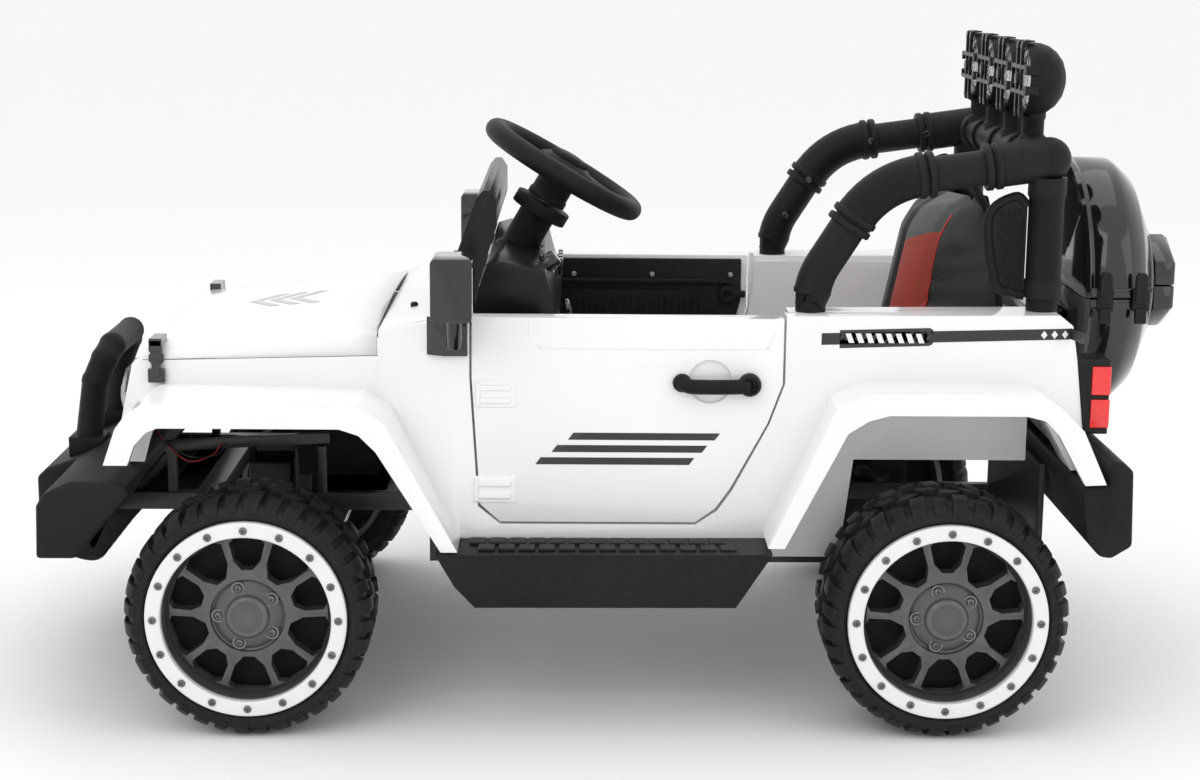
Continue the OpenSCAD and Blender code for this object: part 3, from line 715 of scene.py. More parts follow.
ring_screw = moved(screw(4.4, 2.0), Matrix.Translation((100 * MM, 0, (h + 2.6) * MM)))
ring_screws = repeat(ring_screw, RING, SCREW, Count=16)
cup = turned("cup", in_mm([(0, -6), (7.6, -6), (7.6, 0.6), (5.6, 0.6), (5.2, -1.5), (0, -1.5)]), 24)
nut = turned("nut", in_mm([(0, -2), (4.4, -2), (4.4, 2.4), (3.4, 3.2), (2.2, 3.2), (2.0, 1.6), (0, 1.6)]), 6)
nut_and_cup = moved(joined("nut", [cup, nut]), Matrix.Translation((32 * MM, 0, (face_z + 4.6) * MM)))
nuts = repeat(nut_and_cup, RING, SCREW, Count=5)
for shape in (ring_screws, nuts):
    crisp(shape, 35)

# %% Four wheels at their places
for name in WHEELS:
    place = wheel_place(name)
    body = "wheel_" + name
    tyre = joined("tyre_solid_" + name, [twin(tyre_body, "a", place), twin(tread, "b", place)])
    done(tyre, body, TYRE, "tyre_plastic", "tyre_" + name)
    done(twin(wheel_centre, "wheel_centre_" + name, place), body, WHEEL, "wheel_grey", "rim_" + name)
    backing = turned("wheel_backing_" + name, in_mm([(8, 5), (90, 5), (91, 6), (91, 8), (90, 9), (8, 9)]), 48)
    done(moved(backing, place), body, BLACK_SATIN)
    done(twin(bead_ring, "bead_ring_" + name, place), body, RING_WHITE)
    done(twin(ring_screws, "ring_screws_" + name, place), body, SCREW)
    done(twin(nuts, "wheel_nuts_" + name, place), body, SCREW)
for shape in (tyre_body, tread, wheel_centre, bead_ring, ring_screws, nuts):
    bpy.data.objects.remove(shape)
print("four wheels placed")

# %% [markdown]
# ## Body shell The shell is one blow-moulded part. Its outline and openings are right in the CAD, so a copy
# of it gets the soft edges that moulding leaves. The copy's flat faces are joined first, because a bevel
# needs clean edges. The hood is made anew, because the real one rolls over its front edge and shoulders in
# one sweep.

# %% Shell and tub
shell = from_cad("body_shell", "body_shell_skin", 3.2 * MM, 3)
done(shell, "body", WHITE, "white_gloss", "body_shell")
# The tub's white is the shell's white plastic with painted shade.
tub = from_cad("cabin_tub", "cabin_tub_skin", 3.0 * MM, 2)
done(tub, "body", WHITE_SATIN_SHADED, "white_gloss", "cabin_tub")
print("shell and tub are softened")


# %% Hood
def hood_profile(half, side_z, top_z, crown, radius, arc=6, flat=12):
    """One cross section of the hood as (y, z), from the left lower edge to the right one."""
    left = [(half, side_z)]
    for i in range(arc + 1):
        angle = math.pi / 2 * i / arc
        left.append((half - radius + radius * math.cos(angle), top_z - radius + radius * math.sin(angle)))
    span = half - radius
    top = [
        (y, top_z + crown * (1 - (y / span) ** 2))
        for y in (span * (1 - 2 * i / flat) for i in range(1, flat))
    ]
    return left + top + [(-y, z) for y, z in reversed(left)]


EDGE_ROLL, EDGE_DROP, CROWN = 0.014, 0.0165, 0.0078
low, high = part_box("hood")
stations = []
for i in range(9):
    t = i / 8
    stations.append((low.x + (high.x - EDGE_ROLL - low.x) * t, t, 0.0))
for i in range(1, 6):
    angle = math.pi / 2 * i / 5
    stations.append(
        (high.x - EDGE_ROLL + EDGE_ROLL * math.sin(angle), 1.0, EDGE_DROP * (1 - math.cos(angle)))
    )
rows = []
for x, t, drop in stations:
    half = (234 - 25 * t) * MM
    side = AXLE_Z + (268 - 11 * t) * MM
    top = AXLE_Z + (297 - 23 * t) * MM - drop
    radius = min((14 + 2.5 * t) * MM, top - side - 0.0002)
    crown = CROWN * (1 - drop / (EDGE_DROP + 0.0003))
    rows.append([(x, y, z) for y, z in hood_profile(half, side, top, crown, radius)])
count = len(rows[0])
points = [p for row in rows for p in row]
faces = [
    (a * count + i, a * count + i + 1, (a + 1) * count + i + 1, (a + 1) * count + i)
    for a in range(len(rows) - 1) for i in range(count - 1)
]
hood = weld(piece("hood_skin", points, faces), 0.0001)
if sum(f.normal.z for f in hood.data.polygons) < 0:
    hood.data.flip_normals()
hood.data.shade_smooth()
wall = hood.modifiers.new("panel thickness", "SOLIDIFY")
wall.thickness = 0.004
wall.offset = -1
done(hood, "body", WHITE, "white_gloss", "hood")
print("hood has", len(hood.data.polygons), "faces")

# %% [markdown]
# The hood carries a grey print of three plain chevrons. A print is a film of ink, so it is made of flat faces
# laid a fifth of a millimetre over the hood by casting rays down onto it.


# %% Prints laid on a surface
def film(name, outlines, place, target, ray, lift=0.00025, grid=0.006):
    """Flat outlines, placed by a matrix, cut into a fine net and laid on a target along a ray."""
    work = bmesh.new()
    for outline in outlines:
        work.faces.new([work.verts.new(place @ Vector((x, y, 0))) for x, y in outline])
    for axis in range(3):
        if abs(ray[axis]) > 0.5:
            continue
        span = [v.co[axis] for v in work.verts]
        cuts = int((max(span) - min(span)) / grid)
        for i in range(1, cuts):
            origin = Vector((0, 0, 0))
            origin[axis] = min(span) + i * grid
            normal = Vector((0, 0, 0))
            normal[axis] = 1
            bmesh.ops.bisect_plane(
                work, geom=work.verts[:] + work.edges[:] + work.faces[:], plane_co=origin, plane_no=normal
            )
    net = BVHTree.FromObject(target, bpy.context.evaluated_depsgraph_get())
    for vert in work.verts:
        hit, normal, _, _ = net.ray_cast(vert.co - Vector(ray) * 0.2, Vector(ray))
        if hit is not None:
            vert.co = hit - Vector(ray) * lift
    bmesh.ops.recalc_face_normals(work, faces=work.faces)
    mesh = bpy.data.meshes.new(name)
    work.to_mesh(mesh)
    work.free()
    made = bpy.data.objects.new(name, mesh)
    bpy.context.scene.collection.objects.link(made)
    if sum(f.normal.dot(Vector(ray)) for f in mesh.polygons) > 0:
        mesh.flip_normals()
    return made


bpy.context.view_layer.update()
badge_place = Matrix.Translation((AXLE_X["front"] + 0.012, 0, 0.5))
badge = [
    [
        (x - 0.024 * i, y)
        for x, y in ((0.03, 0), (0, 0.045), (-0.013, 0.045), (0.017, 0), (-0.013, -0.045), (0, -0.045))
    ]
    for i in range(3)
]
done(film("hood_badge", badge, badge_place, hood, (0, 0, -1)), "body", PRINT_GREY)
print("hood badge laid")

# %% [markdown]
# The doors are flat panels with a raised line round their top, two moulded hinge pads and a round finger
# recess behind the handle. The pads and the line stand a little proud, so they are pieces of their own that
# ride on the door.

# %% Doors


def door_pads(side):
    """Two moulded hinges of one door."""
    y = SIDE_Y - 0.0005
    shapes = []
    for top, wide in ((382, 45), (274, 47)):
        x0, z1 = AXLE_X["front"] - 289 * MM, top * MM
        shapes.append(
            soften(block("pad", (x0, y - 0.004, z1 - 0.030), (x0 + wide * MM, y + 0.0018, z1)), 1.3 * MM, 3)
        )
        for z in (z1 - 0.008, z1 - 0.022):
            bar = block("bar", (x0 + 0.006, y, z - 0.003), (x0 + (wide - 5) * MM, y + 0.0042, z + 0.003))
            shapes.append(soften(bar, 1.2 * MM, 3))
        knuckle = tube(
            "knuckle",
            [(x0 + (wide - 3) * MM, y + 0.001, z1 - 0.028), (x0 + (wide - 3) * MM, y + 0.001, z1 - 0.002)],
            0.0032, 14
        )
        shapes.append(soften(knuckle, 0.8 * MM))
    for shape in shapes:
        plain(shape)
    return joined("door_hinge_pads_" + side, shapes)


def door_border(side):
    """A soft raised line inside the door's top edge."""
    y = SIDE_Y - 0.0006
    x0, x1, z = AXLE_X["front"] - 0.305, AXLE_X["rear"] + 0.186, SILL_Z
    line = [
        (x0 + 0.002, y, z - 0.002), (x0, y, z - 0.022), (x0 - 0.010, y, z - 0.031), (x0 - 0.03, y, z - 0.033),
        (x1 + 0.03, y, z - 0.033), (x1 + 0.008, y, z - 0.029), (x1, y, z - 0.012)
    ]
    return tube("door_border_" + side, smooth_line(line, 5), 0.0013, 8)


for side, sign in SIDES:
    panel = from_cad("door_" + side, "door_skin_" + side, 2.2 * MM, 3)
    done(panel, "door_" + side, WHITE, "white_gloss", "door_" + side)
    inner = from_cad("door_trim_" + side, "door_liner_" + side, 2.0 * MM, 2)
    done(inner, "door_" + side, BLACK_SATIN, "black_satin", "door_trim_" + side)
    pads, border = door_pads(side), door_border(side)
    border.data.shade_smooth()
    if sign < 0:
        moved(pads, MIRROR)
        moved(border, MIRROR)
    done(pads, "door_" + side, WHITE, "white_gloss")
    done(border, "door_" + side, WHITE, "white_gloss")
print("doors are built")

# %% [markdown]
# A door liner is a shallow black tray. Three bright screws hold its top edge, a folded shelf runs below them,
# and a small catch sits at its rear.

# %% Door liners
for side, sign in SIDES:
    low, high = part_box("door_trim_" + side)
    face = low.y if sign > 0 else -high.y
    parts = []
    shelf = across(
        "shelf",
        [
            (low.x + 0.012, SILL_Z - 0.037), (high.x - 0.012, SILL_Z - 0.037),
            (high.x - 0.012, SILL_Z - 0.031), (low.x + 0.028, SILL_Z - 0.031)
        ],
        face - 0.007, face + 0.001
    )
    parts.append(soften(shelf, 1.4 * MM, 3))
    panel = across(
        "panel",
        [
            (low.x + 0.03, low.z + 0.006), (high.x - 0.04, low.z + 0.006), (high.x - 0.02, SILL_Z - 0.046),
            (low.x + 0.05, SILL_Z - 0.046)
        ],
        face - 0.0035, face + 0.001
    )
    parts.append(soften(panel, 1.4 * MM, 3))
    catch = turned("catch", in_mm([(0, 0), (13, 0), (13, 5), (10.5, 8), (5, 8), (4, 5), (0, 5)]), 28)
    catch = moved(
        catch,
        Matrix.Translation((low.x + 0.018, face, SILL_Z - 0.052)) @ Matrix.Rotation(math.pi / 2, 4, "X")
    )
    parts.append(soften(catch, 0.6 * MM))
    parts.append(
        soften(
            block(
                "bolt", (low.x - 0.006, face - 0.006, SILL_Z - 0.056), (low.x + 0.014, face, SILL_Z - 0.047)
            ),
            1.5 * MM, 3
        )
    )
    rib = block("rib", (low.x + 0.052, face - 0.0055, low.z + 0.010), (low.x + 0.055, face, low.z + 0.032))
    ribs = repeat(
        soften(rib, 0.5 * MM, 1), ROWS, BLACK_SATIN, Count=20, Step=(0.009, 0, 0), Rows=1, Shift=(0, 0, 0)
    )
    parts.append(ribs)
    for part in parts:
        if part.modifiers:
            plain(part)
    tray = joined("door_tray_" + side, parts)
    heads = moved(
        screw(3.4, 1.6),
        Matrix.Translation((low.x + 0.014, face - 0.0005, SILL_Z - 0.026)) @ Matrix.Rotation(
            math.pi / 2, 4, "X"
        )
    )
    heads = repeat(heads, ROWS, STEEL, Count=3, Step=(0.104, 0, 0), Rows=1, Shift=(0, 0, 0))
    heads.name = "door_liner_screws_" + side
    if sign < 0:
        moved(tray, MIRROR)
        moved(heads, MIRROR)
    crisp(tray, 35)
    done(tray, "door_" + side, BLACK_SATIN, "black_satin")
    done(heads, "door_" + side, STEEL, "plain_steel")
print("door liners are fitted")

# %% [markdown]
# The handle is a round bar with a hub at its rear end, standing over a shallow round finger recess.

# %% Door handles
for side, sign in SIDES:
    low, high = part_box("door_handle_" + side)
    y = SIDE_Y + 0.0095
    z = AXLE_Z + 243 * MM
    x_front, x_rear = AXLE_X["rear"] + 286 * MM, AXLE_X["rear"] + 214 * MM
    grip = tube(
        "grip",
        smooth_line(
            [
                (x_rear, y, z + 0.001), (x_rear + 0.02, y, z), (x_front - 0.012, y, z),
                (x_front - 0.002, y - 0.001, z + 0.002), (x_front + 0.003, y - 0.008, z + 0.004)
            ],
            5
        ),
        0.0082, 20
    )
    hub_outline = [
        (0, 0), (10, 0), (12.6, 2), (12.8, 9), (11, 13), (8.2, 14), (7.4, 12), (4.4, 12), (3.6, 10.4),
        (0, 10.4)
    ]
    hub = turned("hub", in_mm(hub_outline), 36)
    moved(
        hub, Matrix.Translation((x_rear, SIDE_Y + 0.0004, z + 0.002)) @ Matrix.Rotation(-math.pi / 2, 4, "X")
    )
    foot = turned("foot", in_mm([(0, 0), (9, 0), (10.5, 2), (9.5, 6), (7, 8), (0, 8)]), 28)
    moved(
        foot,
        Matrix.Translation((x_front + 0.002, SIDE_Y + 0.0004, z + 0.003)) @ Matrix.Rotation(
            -math.pi / 2, 4, "X"
        )
    )
    handle = joined("handle_bar_" + side, [grip, hub, foot])
    if sign < 0:
        moved(handle, MIRROR)
    crisp(handle, 40)
    done(handle, "door_" + side, BLACK_SATIN, "black_satin", "door_handle_" + side)
print("door handles are fitted")

# %% [markdown]
# The door's print is three plain bars with slanted ends, in place of lettering. The stripe on the rear
# quarter has slanted slits at its front and three small white diamonds at its end.

# %% Prints on the sides
for side, sign in SIDES:
    ray = (0, -sign, 0)
    skin = bpy.data.objects["door_skin_" + side]
    place = Matrix.Translation((AXLE_X["front"] - 0.31, sign * 0.3, 0.288)) @ Matrix.Rotation(
        math.pi / 2, 4, "X"
    )
    marks = []
    for i in range(3):
        front, rear, foot = -0.018 * i, -0.170 - 0.014 * i, 0.014 * i
        marks.append(
            [(front, foot), (rear, foot), (rear - 0.006, foot + 0.008), (front - 0.006, foot + 0.008)]
        )
    done(film("door_print_" + side, marks, place, skin, ray), "door_" + side, PRINT)
    stripe_place = Matrix.Translation((AXLE_X["rear"] + 0.136, sign * 0.3, SILL_Z)) @ Matrix.Rotation(
        math.pi / 2, 4, "X"
    )
    stripe = [
        [(0.0, -0.028), (-0.286, -0.020), (-0.286, -0.008), (0.0, -0.015)],
        [
            (-0.020, -0.0315), (-0.118, -0.0285), (-0.122, -0.0265), (-0.122, -0.0105), (-0.118, -0.0085),
            (-0.020, -0.0115)
        ]
    ]
    done(film("side_stripe_" + side, stripe, stripe_place, shell, ray), "body", PRINT)
    diamonds = [
        [
            (-0.244 - 0.0115 * i + a, -0.0155 + 0.0003 * i + b)
            for a, b in ((0.0036, 0), (0, 0.0046), (-0.0036, 0), (0, -0.0046))
        ]
        for i in range(3)
    ]
    slits = [
        [
            (-0.030 - 0.011 * i, -0.0255), (-0.036 - 0.011 * i, -0.0255), (-0.032 - 0.011 * i, -0.0150),
            (-0.026 - 0.011 * i, -0.0150)
        ]
        for i in range(8)
    ]
    done(film("stripe_marks_" + side, diamonds + slits, stripe_place, shell, ray, 0.0005), "body", RING_WHITE)
print("prints are laid")

# %% [markdown]
# ## Roll bar The real roll bar is plastic tube with fatter elbows. Each elbow ends in a collar of two raised
# bands, and the rear corner is a dome. Tubes along smooth lines give the elbows, and short turned rings give
# the collars.

# %% Roll bar
BAR_R = 19.5 * MM
BAR_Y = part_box("side_mesh_panels")[1].y - 5 * MM
LEG_X = AXLE_X["rear"] - 0.112


def bar_point(dx, dz, y=BAR_Y):
    x, z = on_sill("rear", dx, dz)
    return Vector((x, y, z))


def collar(at_point, along, radius=26 * MM, gap=7 * MM):
    """Two raised bands round a tube."""
    r = radius / MM
    band = [(r - 9, -4), (r - 1.4, -4), (r, -2.6), (r, 2.6), (r - 1.4, 4), (r - 9, 4)]
    shapes = []
    for shift in (-gap / 2 - 0.002, gap / 2 + 0.002):
        ring = turned("band", in_mm(band), 40)
        turn = Vector(along).to_track_quat("Z", "Y").to_matrix().to_4x4()
        shapes.append(
            moved(ring, Matrix.Translation(Vector(at_point) + Vector(along).normalized() * shift) @ turn)
        )
    return shapes


def arc_line(a, corner, b, reach, steps=10):
    """A line from a to b that rounds its corner over a reach."""
    a, corner, b = Vector(a), Vector(corner), Vector(b)
    start = corner + (a - corner).normalized() * reach
    stop = corner + (b - corner).normalized() * reach
    shares = [i / steps for i in range(steps + 1)]
    return [start * (1 - t) ** 2 + corner * 2 * t * (1 - t) + stop * t ** 2 for t in shares]


hoop = []
foot, knee = bar_point(145, 0.5), bar_point(142, 40)
bend, rear_top = bar_point(74, 148), bar_point(-112, 173)
sleeve = turned(
    "sleeve", [(0, 0), (0.0168, 0), (0.0168, 0.024), (0.0190, 0.025), (0.0190, 0.03), (0, 0.03)], 36
)
hoop.append(moved(sleeve, Matrix.Translation(foot)))
line = [foot + Vector((0, 0, 0.022))] + arc_line(foot, knee, bend, 0.020) + [knee.lerp(bend, 0.62)]
hoop.append(tube("lower", line, BAR_R + 0.001, 32))
elbow = arc_line(knee, bend, rear_top, 0.052)
hoop.append(tube("elbow", elbow, 23.5 * MM, 32))
hoop += collar(elbow[0], knee - bend)
hoop += collar(elbow[-1], rear_top - bend)
hoop.append(tube("upper", [elbow[-2], bend.lerp(rear_top, 0.9)], BAR_R, 32))
corner_start = rear_top + (bend - rear_top).normalized() * 0.062
hoop += collar(corner_start, bend - rear_top)
hoop.append(tube("corner", [corner_start, rear_top + Vector((0.004, 0, 0))], 24 * MM, 32))
DOME_R = 0.0245
dome_line = [(0, -DOME_R)]
for degrees in range(-80, 81, 10):
    a = math.radians(degrees)
    dome_line.append((DOME_R * math.cos(a), DOME_R * math.sin(a)))
dome = turned("dome", dome_line + [(0, DOME_R)], 40)
hoop.append(moved(dome, Matrix.Translation(rear_top)))
leg_outline = [
    (0, 1), (17.5, 1), (17.5, 16), (20.5, 17), (20.5, 36), (19.5, 38), (19.5, 128), (21, 130), (21, 150),
    (0, 150)
]
leg = turned("leg", in_mm(leg_outline), 40)
hoop.append(moved(leg, Matrix.Translation((LEG_X, BAR_Y, SILL_Z + 0.0035))))
for shape in hoop:
    crisp(shape, 38)
half = joined("half of the roll bar", hoop)
other_half = twin(half, "other half", MIRROR)
cross_parts = [tube("cross", [bar_point(-109, 172, -BAR_Y), bar_point(-109, 172, BAR_Y)], 17.5 * MM, 32)]
for y in (-0.17, -0.104, 0, 0.104, 0.17):
    cross_parts += collar(bar_point(-109, 172, y), (0, 1, 0), 21.5 * MM, 3 * MM)
lamp_ys = [(i - 1.5) * 0.104 for i in range(4)]
for y in lamp_ys:
    x, z = on_sill("rear", -109, 170)
    stem = turned(
        "stem", in_mm([(0, 8), (15, 8), (15, 22), (12.5, 24), (12.5, 40), (14, 43), (14, 50), (0, 50)]), 32
    )
    cross_parts.append(moved(stem, Matrix.Translation((x, y, z))))
roll_bar = joined("roll_bar_skin", [half, other_half] + cross_parts)
crisp(roll_bar, 38)
done(roll_bar, "body", BLACK_SATIN, "black_satin", "roll_bar")
head = screw(4.2, 1.8)
screw_spots = [(knee.lerp(bend, 0.16), 21), (elbow[0], 26), (elbow[-1], 26), (corner_start, 26)]
heads = []
for spot, radius in screw_spots:
    for sign in (1, -1):
        place = Matrix.Translation((spot.x, sign * (BAR_Y - (radius - 1.2) * MM), spot.z))
        heads.append(twin(head, "head", place @ Matrix.Rotation(sign * math.pi / 2, 4, "X")))
bpy.data.objects.remove(head)
done(joined("roll_bar_screws", heads), "body", BLACK_GLOSS)
print("roll bar has", len(roll_bar.data.polygons), "faces")

# %% [markdown]
# ## Roof lamps Each lamp is a domed black shell with a bright bowl, a clear lens and a black snap guard of
# crossed bars with hooked ends. One lamp is built facing +Z, and the four copies look ahead.

# %% Roof lamps
lamp_low, lamp_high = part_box("lamp_housings")
LAMP_Z = (lamp_low.z + lamp_high.z) / 2
shell_outline = [
    (0, 0), (12, 0.8), (22, 4.5), (31, 11.5), (37, 20), (40, 29), (40.6, 36), (41, 44.5), (39.5, 46.5),
    (37.6, 46), (37, 40), (33, 30), (24, 20), (12, 14), (0, 12.5)
]
lamp_shell = turned("lamp shell", in_mm(shell_outline), 64)
bowl = turned(
    "lamp bowl",
    in_mm([(37.4, 40), (33, 31), (24, 21), (12, 15), (5, 14), (4.5, 20), (0, 22), (0, 12), (36.9, 38)]), 64
)
lens_outline = [(0, 50.5), (16, 49.8), (28, 47.9), (37, 44.6), (37.4, 42.6), (28, 46), (16, 48), (0, 48.8)]
lens = turned("lamp lens", in_mm(lens_outline), 64)


def guard_parts():
    shapes = []
    for y in (-11, 11):
        shapes.append(block("bar", (-0.039, (y - 2.6) * MM, 0.0488), (0.039, (y + 2.6) * MM, 0.0528)))
    for x in (-14, 14):
        shapes.append(block("bar", ((x - 2.6) * MM, -0.039, 0.0490), ((x + 2.6) * MM, 0.039, 0.0526)))
    for turn in range(4):
        for side in (-11, 11):
            hook = across(
                "hook",
                in_mm([(34, 53), (42.2, 52), (43.2, 48), (43.2, 38), (41.4, 38), (41.4, 46), (34, 49)]),
                (side - 5) * MM, (side + 5) * MM
            )
            shapes.append(moved(hook, Matrix.Rotation(turn * math.pi / 2, 4, "Z")))
    shapes.append(turned("boss", in_mm([(0, 49), (8, 49), (8, 54), (6.5, 55.6), (0, 55.6)]), 24))
    for shape in shapes:
        plain(soften(shape, 0.9 * MM, 2))
    return shapes


guard = joined("lamp guard", guard_parts())
for shape in (lamp_shell, bowl, lens):
    crisp(shape, 50)
to_front = Matrix.Rotation(math.pi / 2, 4, "Y")
for name, shape, material, slot, nodes in (
        ("lamp_shells", lamp_shell, BLACK_SATIN, "black_satin", ("lamp_housings",)),
        ("lamp_bowls", bowl, CHROME, None, ()),
        ("lamp_glasses", lens, CLEAR, "clear_lens", ("lamp_lenses",)),
        ("lamp_guards", guard, BLACK_SMOOTH, "black_satin", ())):
    copies = [twin(shape, "copy", Matrix.Translation((lamp_low.x, y, LAMP_Z)) @ to_front) for y in lamp_ys]
    bpy.data.objects.remove(shape)
    done(joined(name, copies), "body", material, slot, *nodes)
print("four lamps are on the bar")

# %% [markdown]
# A small panel with a hexagonal mesh fills the corner beside each leg of the roll bar. Its rows of holes end
# at a slanted edge, so a loop picks the places that fit, and one Boolean cuts six-sided prisms there. A thin
# sheet behind the holes closes the mesh, as the real one lets no light through.

# %% Mesh panels
edge = [
    bar_point(-91, 122), bar_point(-77, 132), bar_point(-49, 109), bar_point(-59, 37), bar_point(-77, 26),
    bar_point(-91, 22)
]
frame_line = smooth_line(edge, 6)
shapes = [tube("frame", frame_line, 0.0052, 14)]
net_outline = [(p.x, p.z) for p in edge]
core = across("core", net_outline, BAR_Y - 0.0015, BAR_Y + 0.0015)
hole = turned("hole", in_mm([(0, -8), (2.5, -8), (2.5, 8), (0, 8)]), 6)
hole = moved(
    hole,
    Matrix.Translation((edge[5].x + 0.006, BAR_Y, edge[4].z + 0.009)) @ Matrix.Rotation(math.pi / 2, 4, "X")
)
holes = []
for row in range(13):
    for column in range(6):
        x, z = column * 0.0062 + (row % 2) * 0.0031, row * 0.0072
        point = (hole.data.vertices[0].co.x + x, edge[4].z + 0.009 + z)
        share = (point[1] - edge[4].z) / (edge[1].z - edge[4].z)
        reach = edge[3].x + (edge[2].x - edge[3].x) * share - 0.007
        if point[0] < reach and share < 0.84:
            holes.append(twin(hole, "hole", Matrix.Translation((x, 0, z))))
bpy.data.objects.remove(hole)
cut(core, joined("holes", holes))
shapes.append(core)
shapes.append(across("backing", net_outline, BAR_Y - 0.0004, BAR_Y + 0.0004))
panel = joined("mesh", shapes)
crisp(panel, 35)
both = joined("mesh_panels", [panel, twin(panel, "other", MIRROR)])
done(both, "body", BLACK_SATIN, "black_satin", "side_mesh_panels")
print("mesh panels have", len(both.data.polygons), "faces")

# %% [markdown]
# ## Spare wheel box The box on the tail is shaped as a covered spare wheel. It is split at its middle, and
# its upper half is a lid that swings open to the right, so each half is its own piece. The real moulding is
# gloss black, with a groove near its rim, a raised belt round its widest part and two snap latches.

# %% Spare wheel box
BOX_Z = SILL_Z + 0.006
skin_outline = [
    (0, 0), (140, 0), (146, 2), (148, 6), (148, 9), (146.4, 10), (146.4, 12), (148, 13), (148, 49),
    (146.5, 55), (130, 74), (127, 76), (79, 97), (76, 97.6), (75, 99), (60, 103), (46, 108.6), (0, 110)
]
inner_outline = [(0, 105), (44, 104), (76, 92), (124, 72), (143, 50), (144, 5), (138, 4), (0, 4)]


def box_half(name, sign):
    """Half of the box, sign 1 for the lid above the split."""
    outline = in_mm(skin_outline) + in_mm(inner_outline)
    shape = turned(name, outline, 60, 0.5)
    crisp(shape, 30)
    turn = Matrix.Rotation(-math.pi / 2, 4, "Y") @ Matrix.Rotation(
        -math.pi / 2 if sign > 0 else math.pi / 2, 4, "Z"
    )
    return moved(shape, Matrix.Translation((AXLE_X["rear"] - 0.180, 0, BOX_Z + sign * 0.0006)) @ turn)


for name, sign, body, node in (
    ("spare_box_bottom", -1, "body", "spare_box_base"),
    ("spare_box_cover", 1, "spare_box_lid", "spare_box_lid")
):
    parts = [box_half("half", sign)]
    face_x = AXLE_X["rear"] - 0.286
    boss = turned(
        "boss", in_mm([(0, 0), (55, 0), (56, 2), (56, 20), (52, 26.5), (38, 27), (36, 24.5), (0, 24.5)]), 6
    )
    moved(boss, Matrix.Translation((face_x, 0, BOX_Z)) @ Matrix.Rotation(-math.pi / 2, 4, "Y"))
    keep = block(
        "keep", (face_x - 0.1, -0.1, BOX_Z if sign < 0 else BOX_Z - 0.2),
        (face_x + 0.1, 0.1, BOX_Z + 0.2 if sign < 0 else BOX_Z)
    )
    cut(boss, keep)
    moved(boss, Matrix.Translation((0, 0, sign * 0.0006)))
    soften(boss, 1.6 * MM, 3)
    parts.append(plain(boss))
    if sign < 0:
        bracket = across(
            "bracket",
            [
                on_sill("rear", -178, -122), on_sill("rear", -178, -22), on_sill("rear", -146.5, -22),
                on_sill("rear", -148.5, -46), at("rear", -160.5, 195)
            ],
            -0.06, 0.06
        )
        parts.append(plain(soften(bracket, 1.5 * MM)))
    x0 = AXLE_X["rear"] - 0.232
    belt_z0, belt_z1 = (BOX_Z + 0.0008, BOX_Z + 0.012) if sign > 0 else (BOX_Z - 0.012, BOX_Z - 0.0008)
    lip = block("lip", (x0 - 0.002, 0.1462, belt_z0), (AXLE_X["rear"] - 0.186, 0.1515, belt_z1))
    parts.append(plain(soften(lip, 1.4 * MM, 3)))
    hinge = 5 * MM
    hinge_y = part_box("spare_box_lid")[0].y + 0.005
    spans = ((-0.217, -0.206),) if sign > 0 else ((-0.205, -0.193), (-0.230, -0.218))
    for a, b in spans:
        knuckle = tube(
            "knuckle", [(AXLE_X["rear"] + a, hinge_y, BOX_Z), (AXLE_X["rear"] + b, hinge_y, BOX_Z)],
            hinge - 0.0002, 20
        )
        tail = block("tail", (AXLE_X["rear"] + a, hinge_y, BOX_Z + (0.0008 if sign > 0 else -0.012)),
                     (AXLE_X["rear"] + b, hinge_y + 0.010, BOX_Z + (0.012 if sign > 0 else -0.0008)))
        parts += [knuckle, tail]
    if sign > 0:
        parts.append(
            tube(
                "pin", [(AXLE_X["rear"] - 0.232, hinge_y, BOX_Z), (AXLE_X["rear"] - 0.191, hinge_y, BOX_Z)],
                0.0024, 14
            )
        )
    half = joined(name, parts)
    crisp(half, 30)
    done(half, body, BLACK_GLOSS, "black_gloss", node)
print("the box is split at", round(BOX_Z, 3))

# %% Box latches
latches = []
for dx in (-0.2025, -0.2435):
    x = AXLE_X["rear"] + dx
    y = 0.1500
    base = block("base", (x - 0.0095, y - 0.002, BOX_Z - 0.014), (x + 0.0095, y + 0.006, BOX_Z + 0.012))
    strap = across(
        "strap",
        [
            (x - 0.007, BOX_Z - 0.006), (x + 0.007, BOX_Z - 0.006), (x + 0.007, BOX_Z + 0.026),
            (x + 0.004, BOX_Z + 0.031), (x - 0.004, BOX_Z + 0.031), (x - 0.007, BOX_Z + 0.026)
        ],
        y + 0.001, y + 0.008
    )
    pull = block("pull", (x - 0.0065, y + 0.002, BOX_Z - 0.028), (x + 0.0065, y + 0.0095, BOX_Z - 0.010))
    for shape in (base, strap, pull):
        latches.append(plain(soften(shape, 1.3 * MM, 2)))
done(joined("box_latches", latches), "spare_box_lid", BLACK_SMOOTH, "black_satin")
print("two latches hold the lid")

# %% [markdown]
# ## Seat The seat is a hard shell with a padded cover of imitation leather. Each pad starts as a slightly
# small block. It is cut into an even grid, and the cloth solver then blows it up from inside, which gives the
# soft sides and the pulled corners of real upholstery. The movement is capped so that the pads stay on the
# shell.

# %% Seat shell
done(from_cad("seat_shell", "seat_shell_skin", 0.006, 3), "body", BLACK_SATIN, "black_satin", "seat_shell")
SEAT_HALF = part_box("seat_cushion")[1].y
print("seat is", round(2 * SEAT_HALF, 3), "m wide")

# %% The blown-up pads


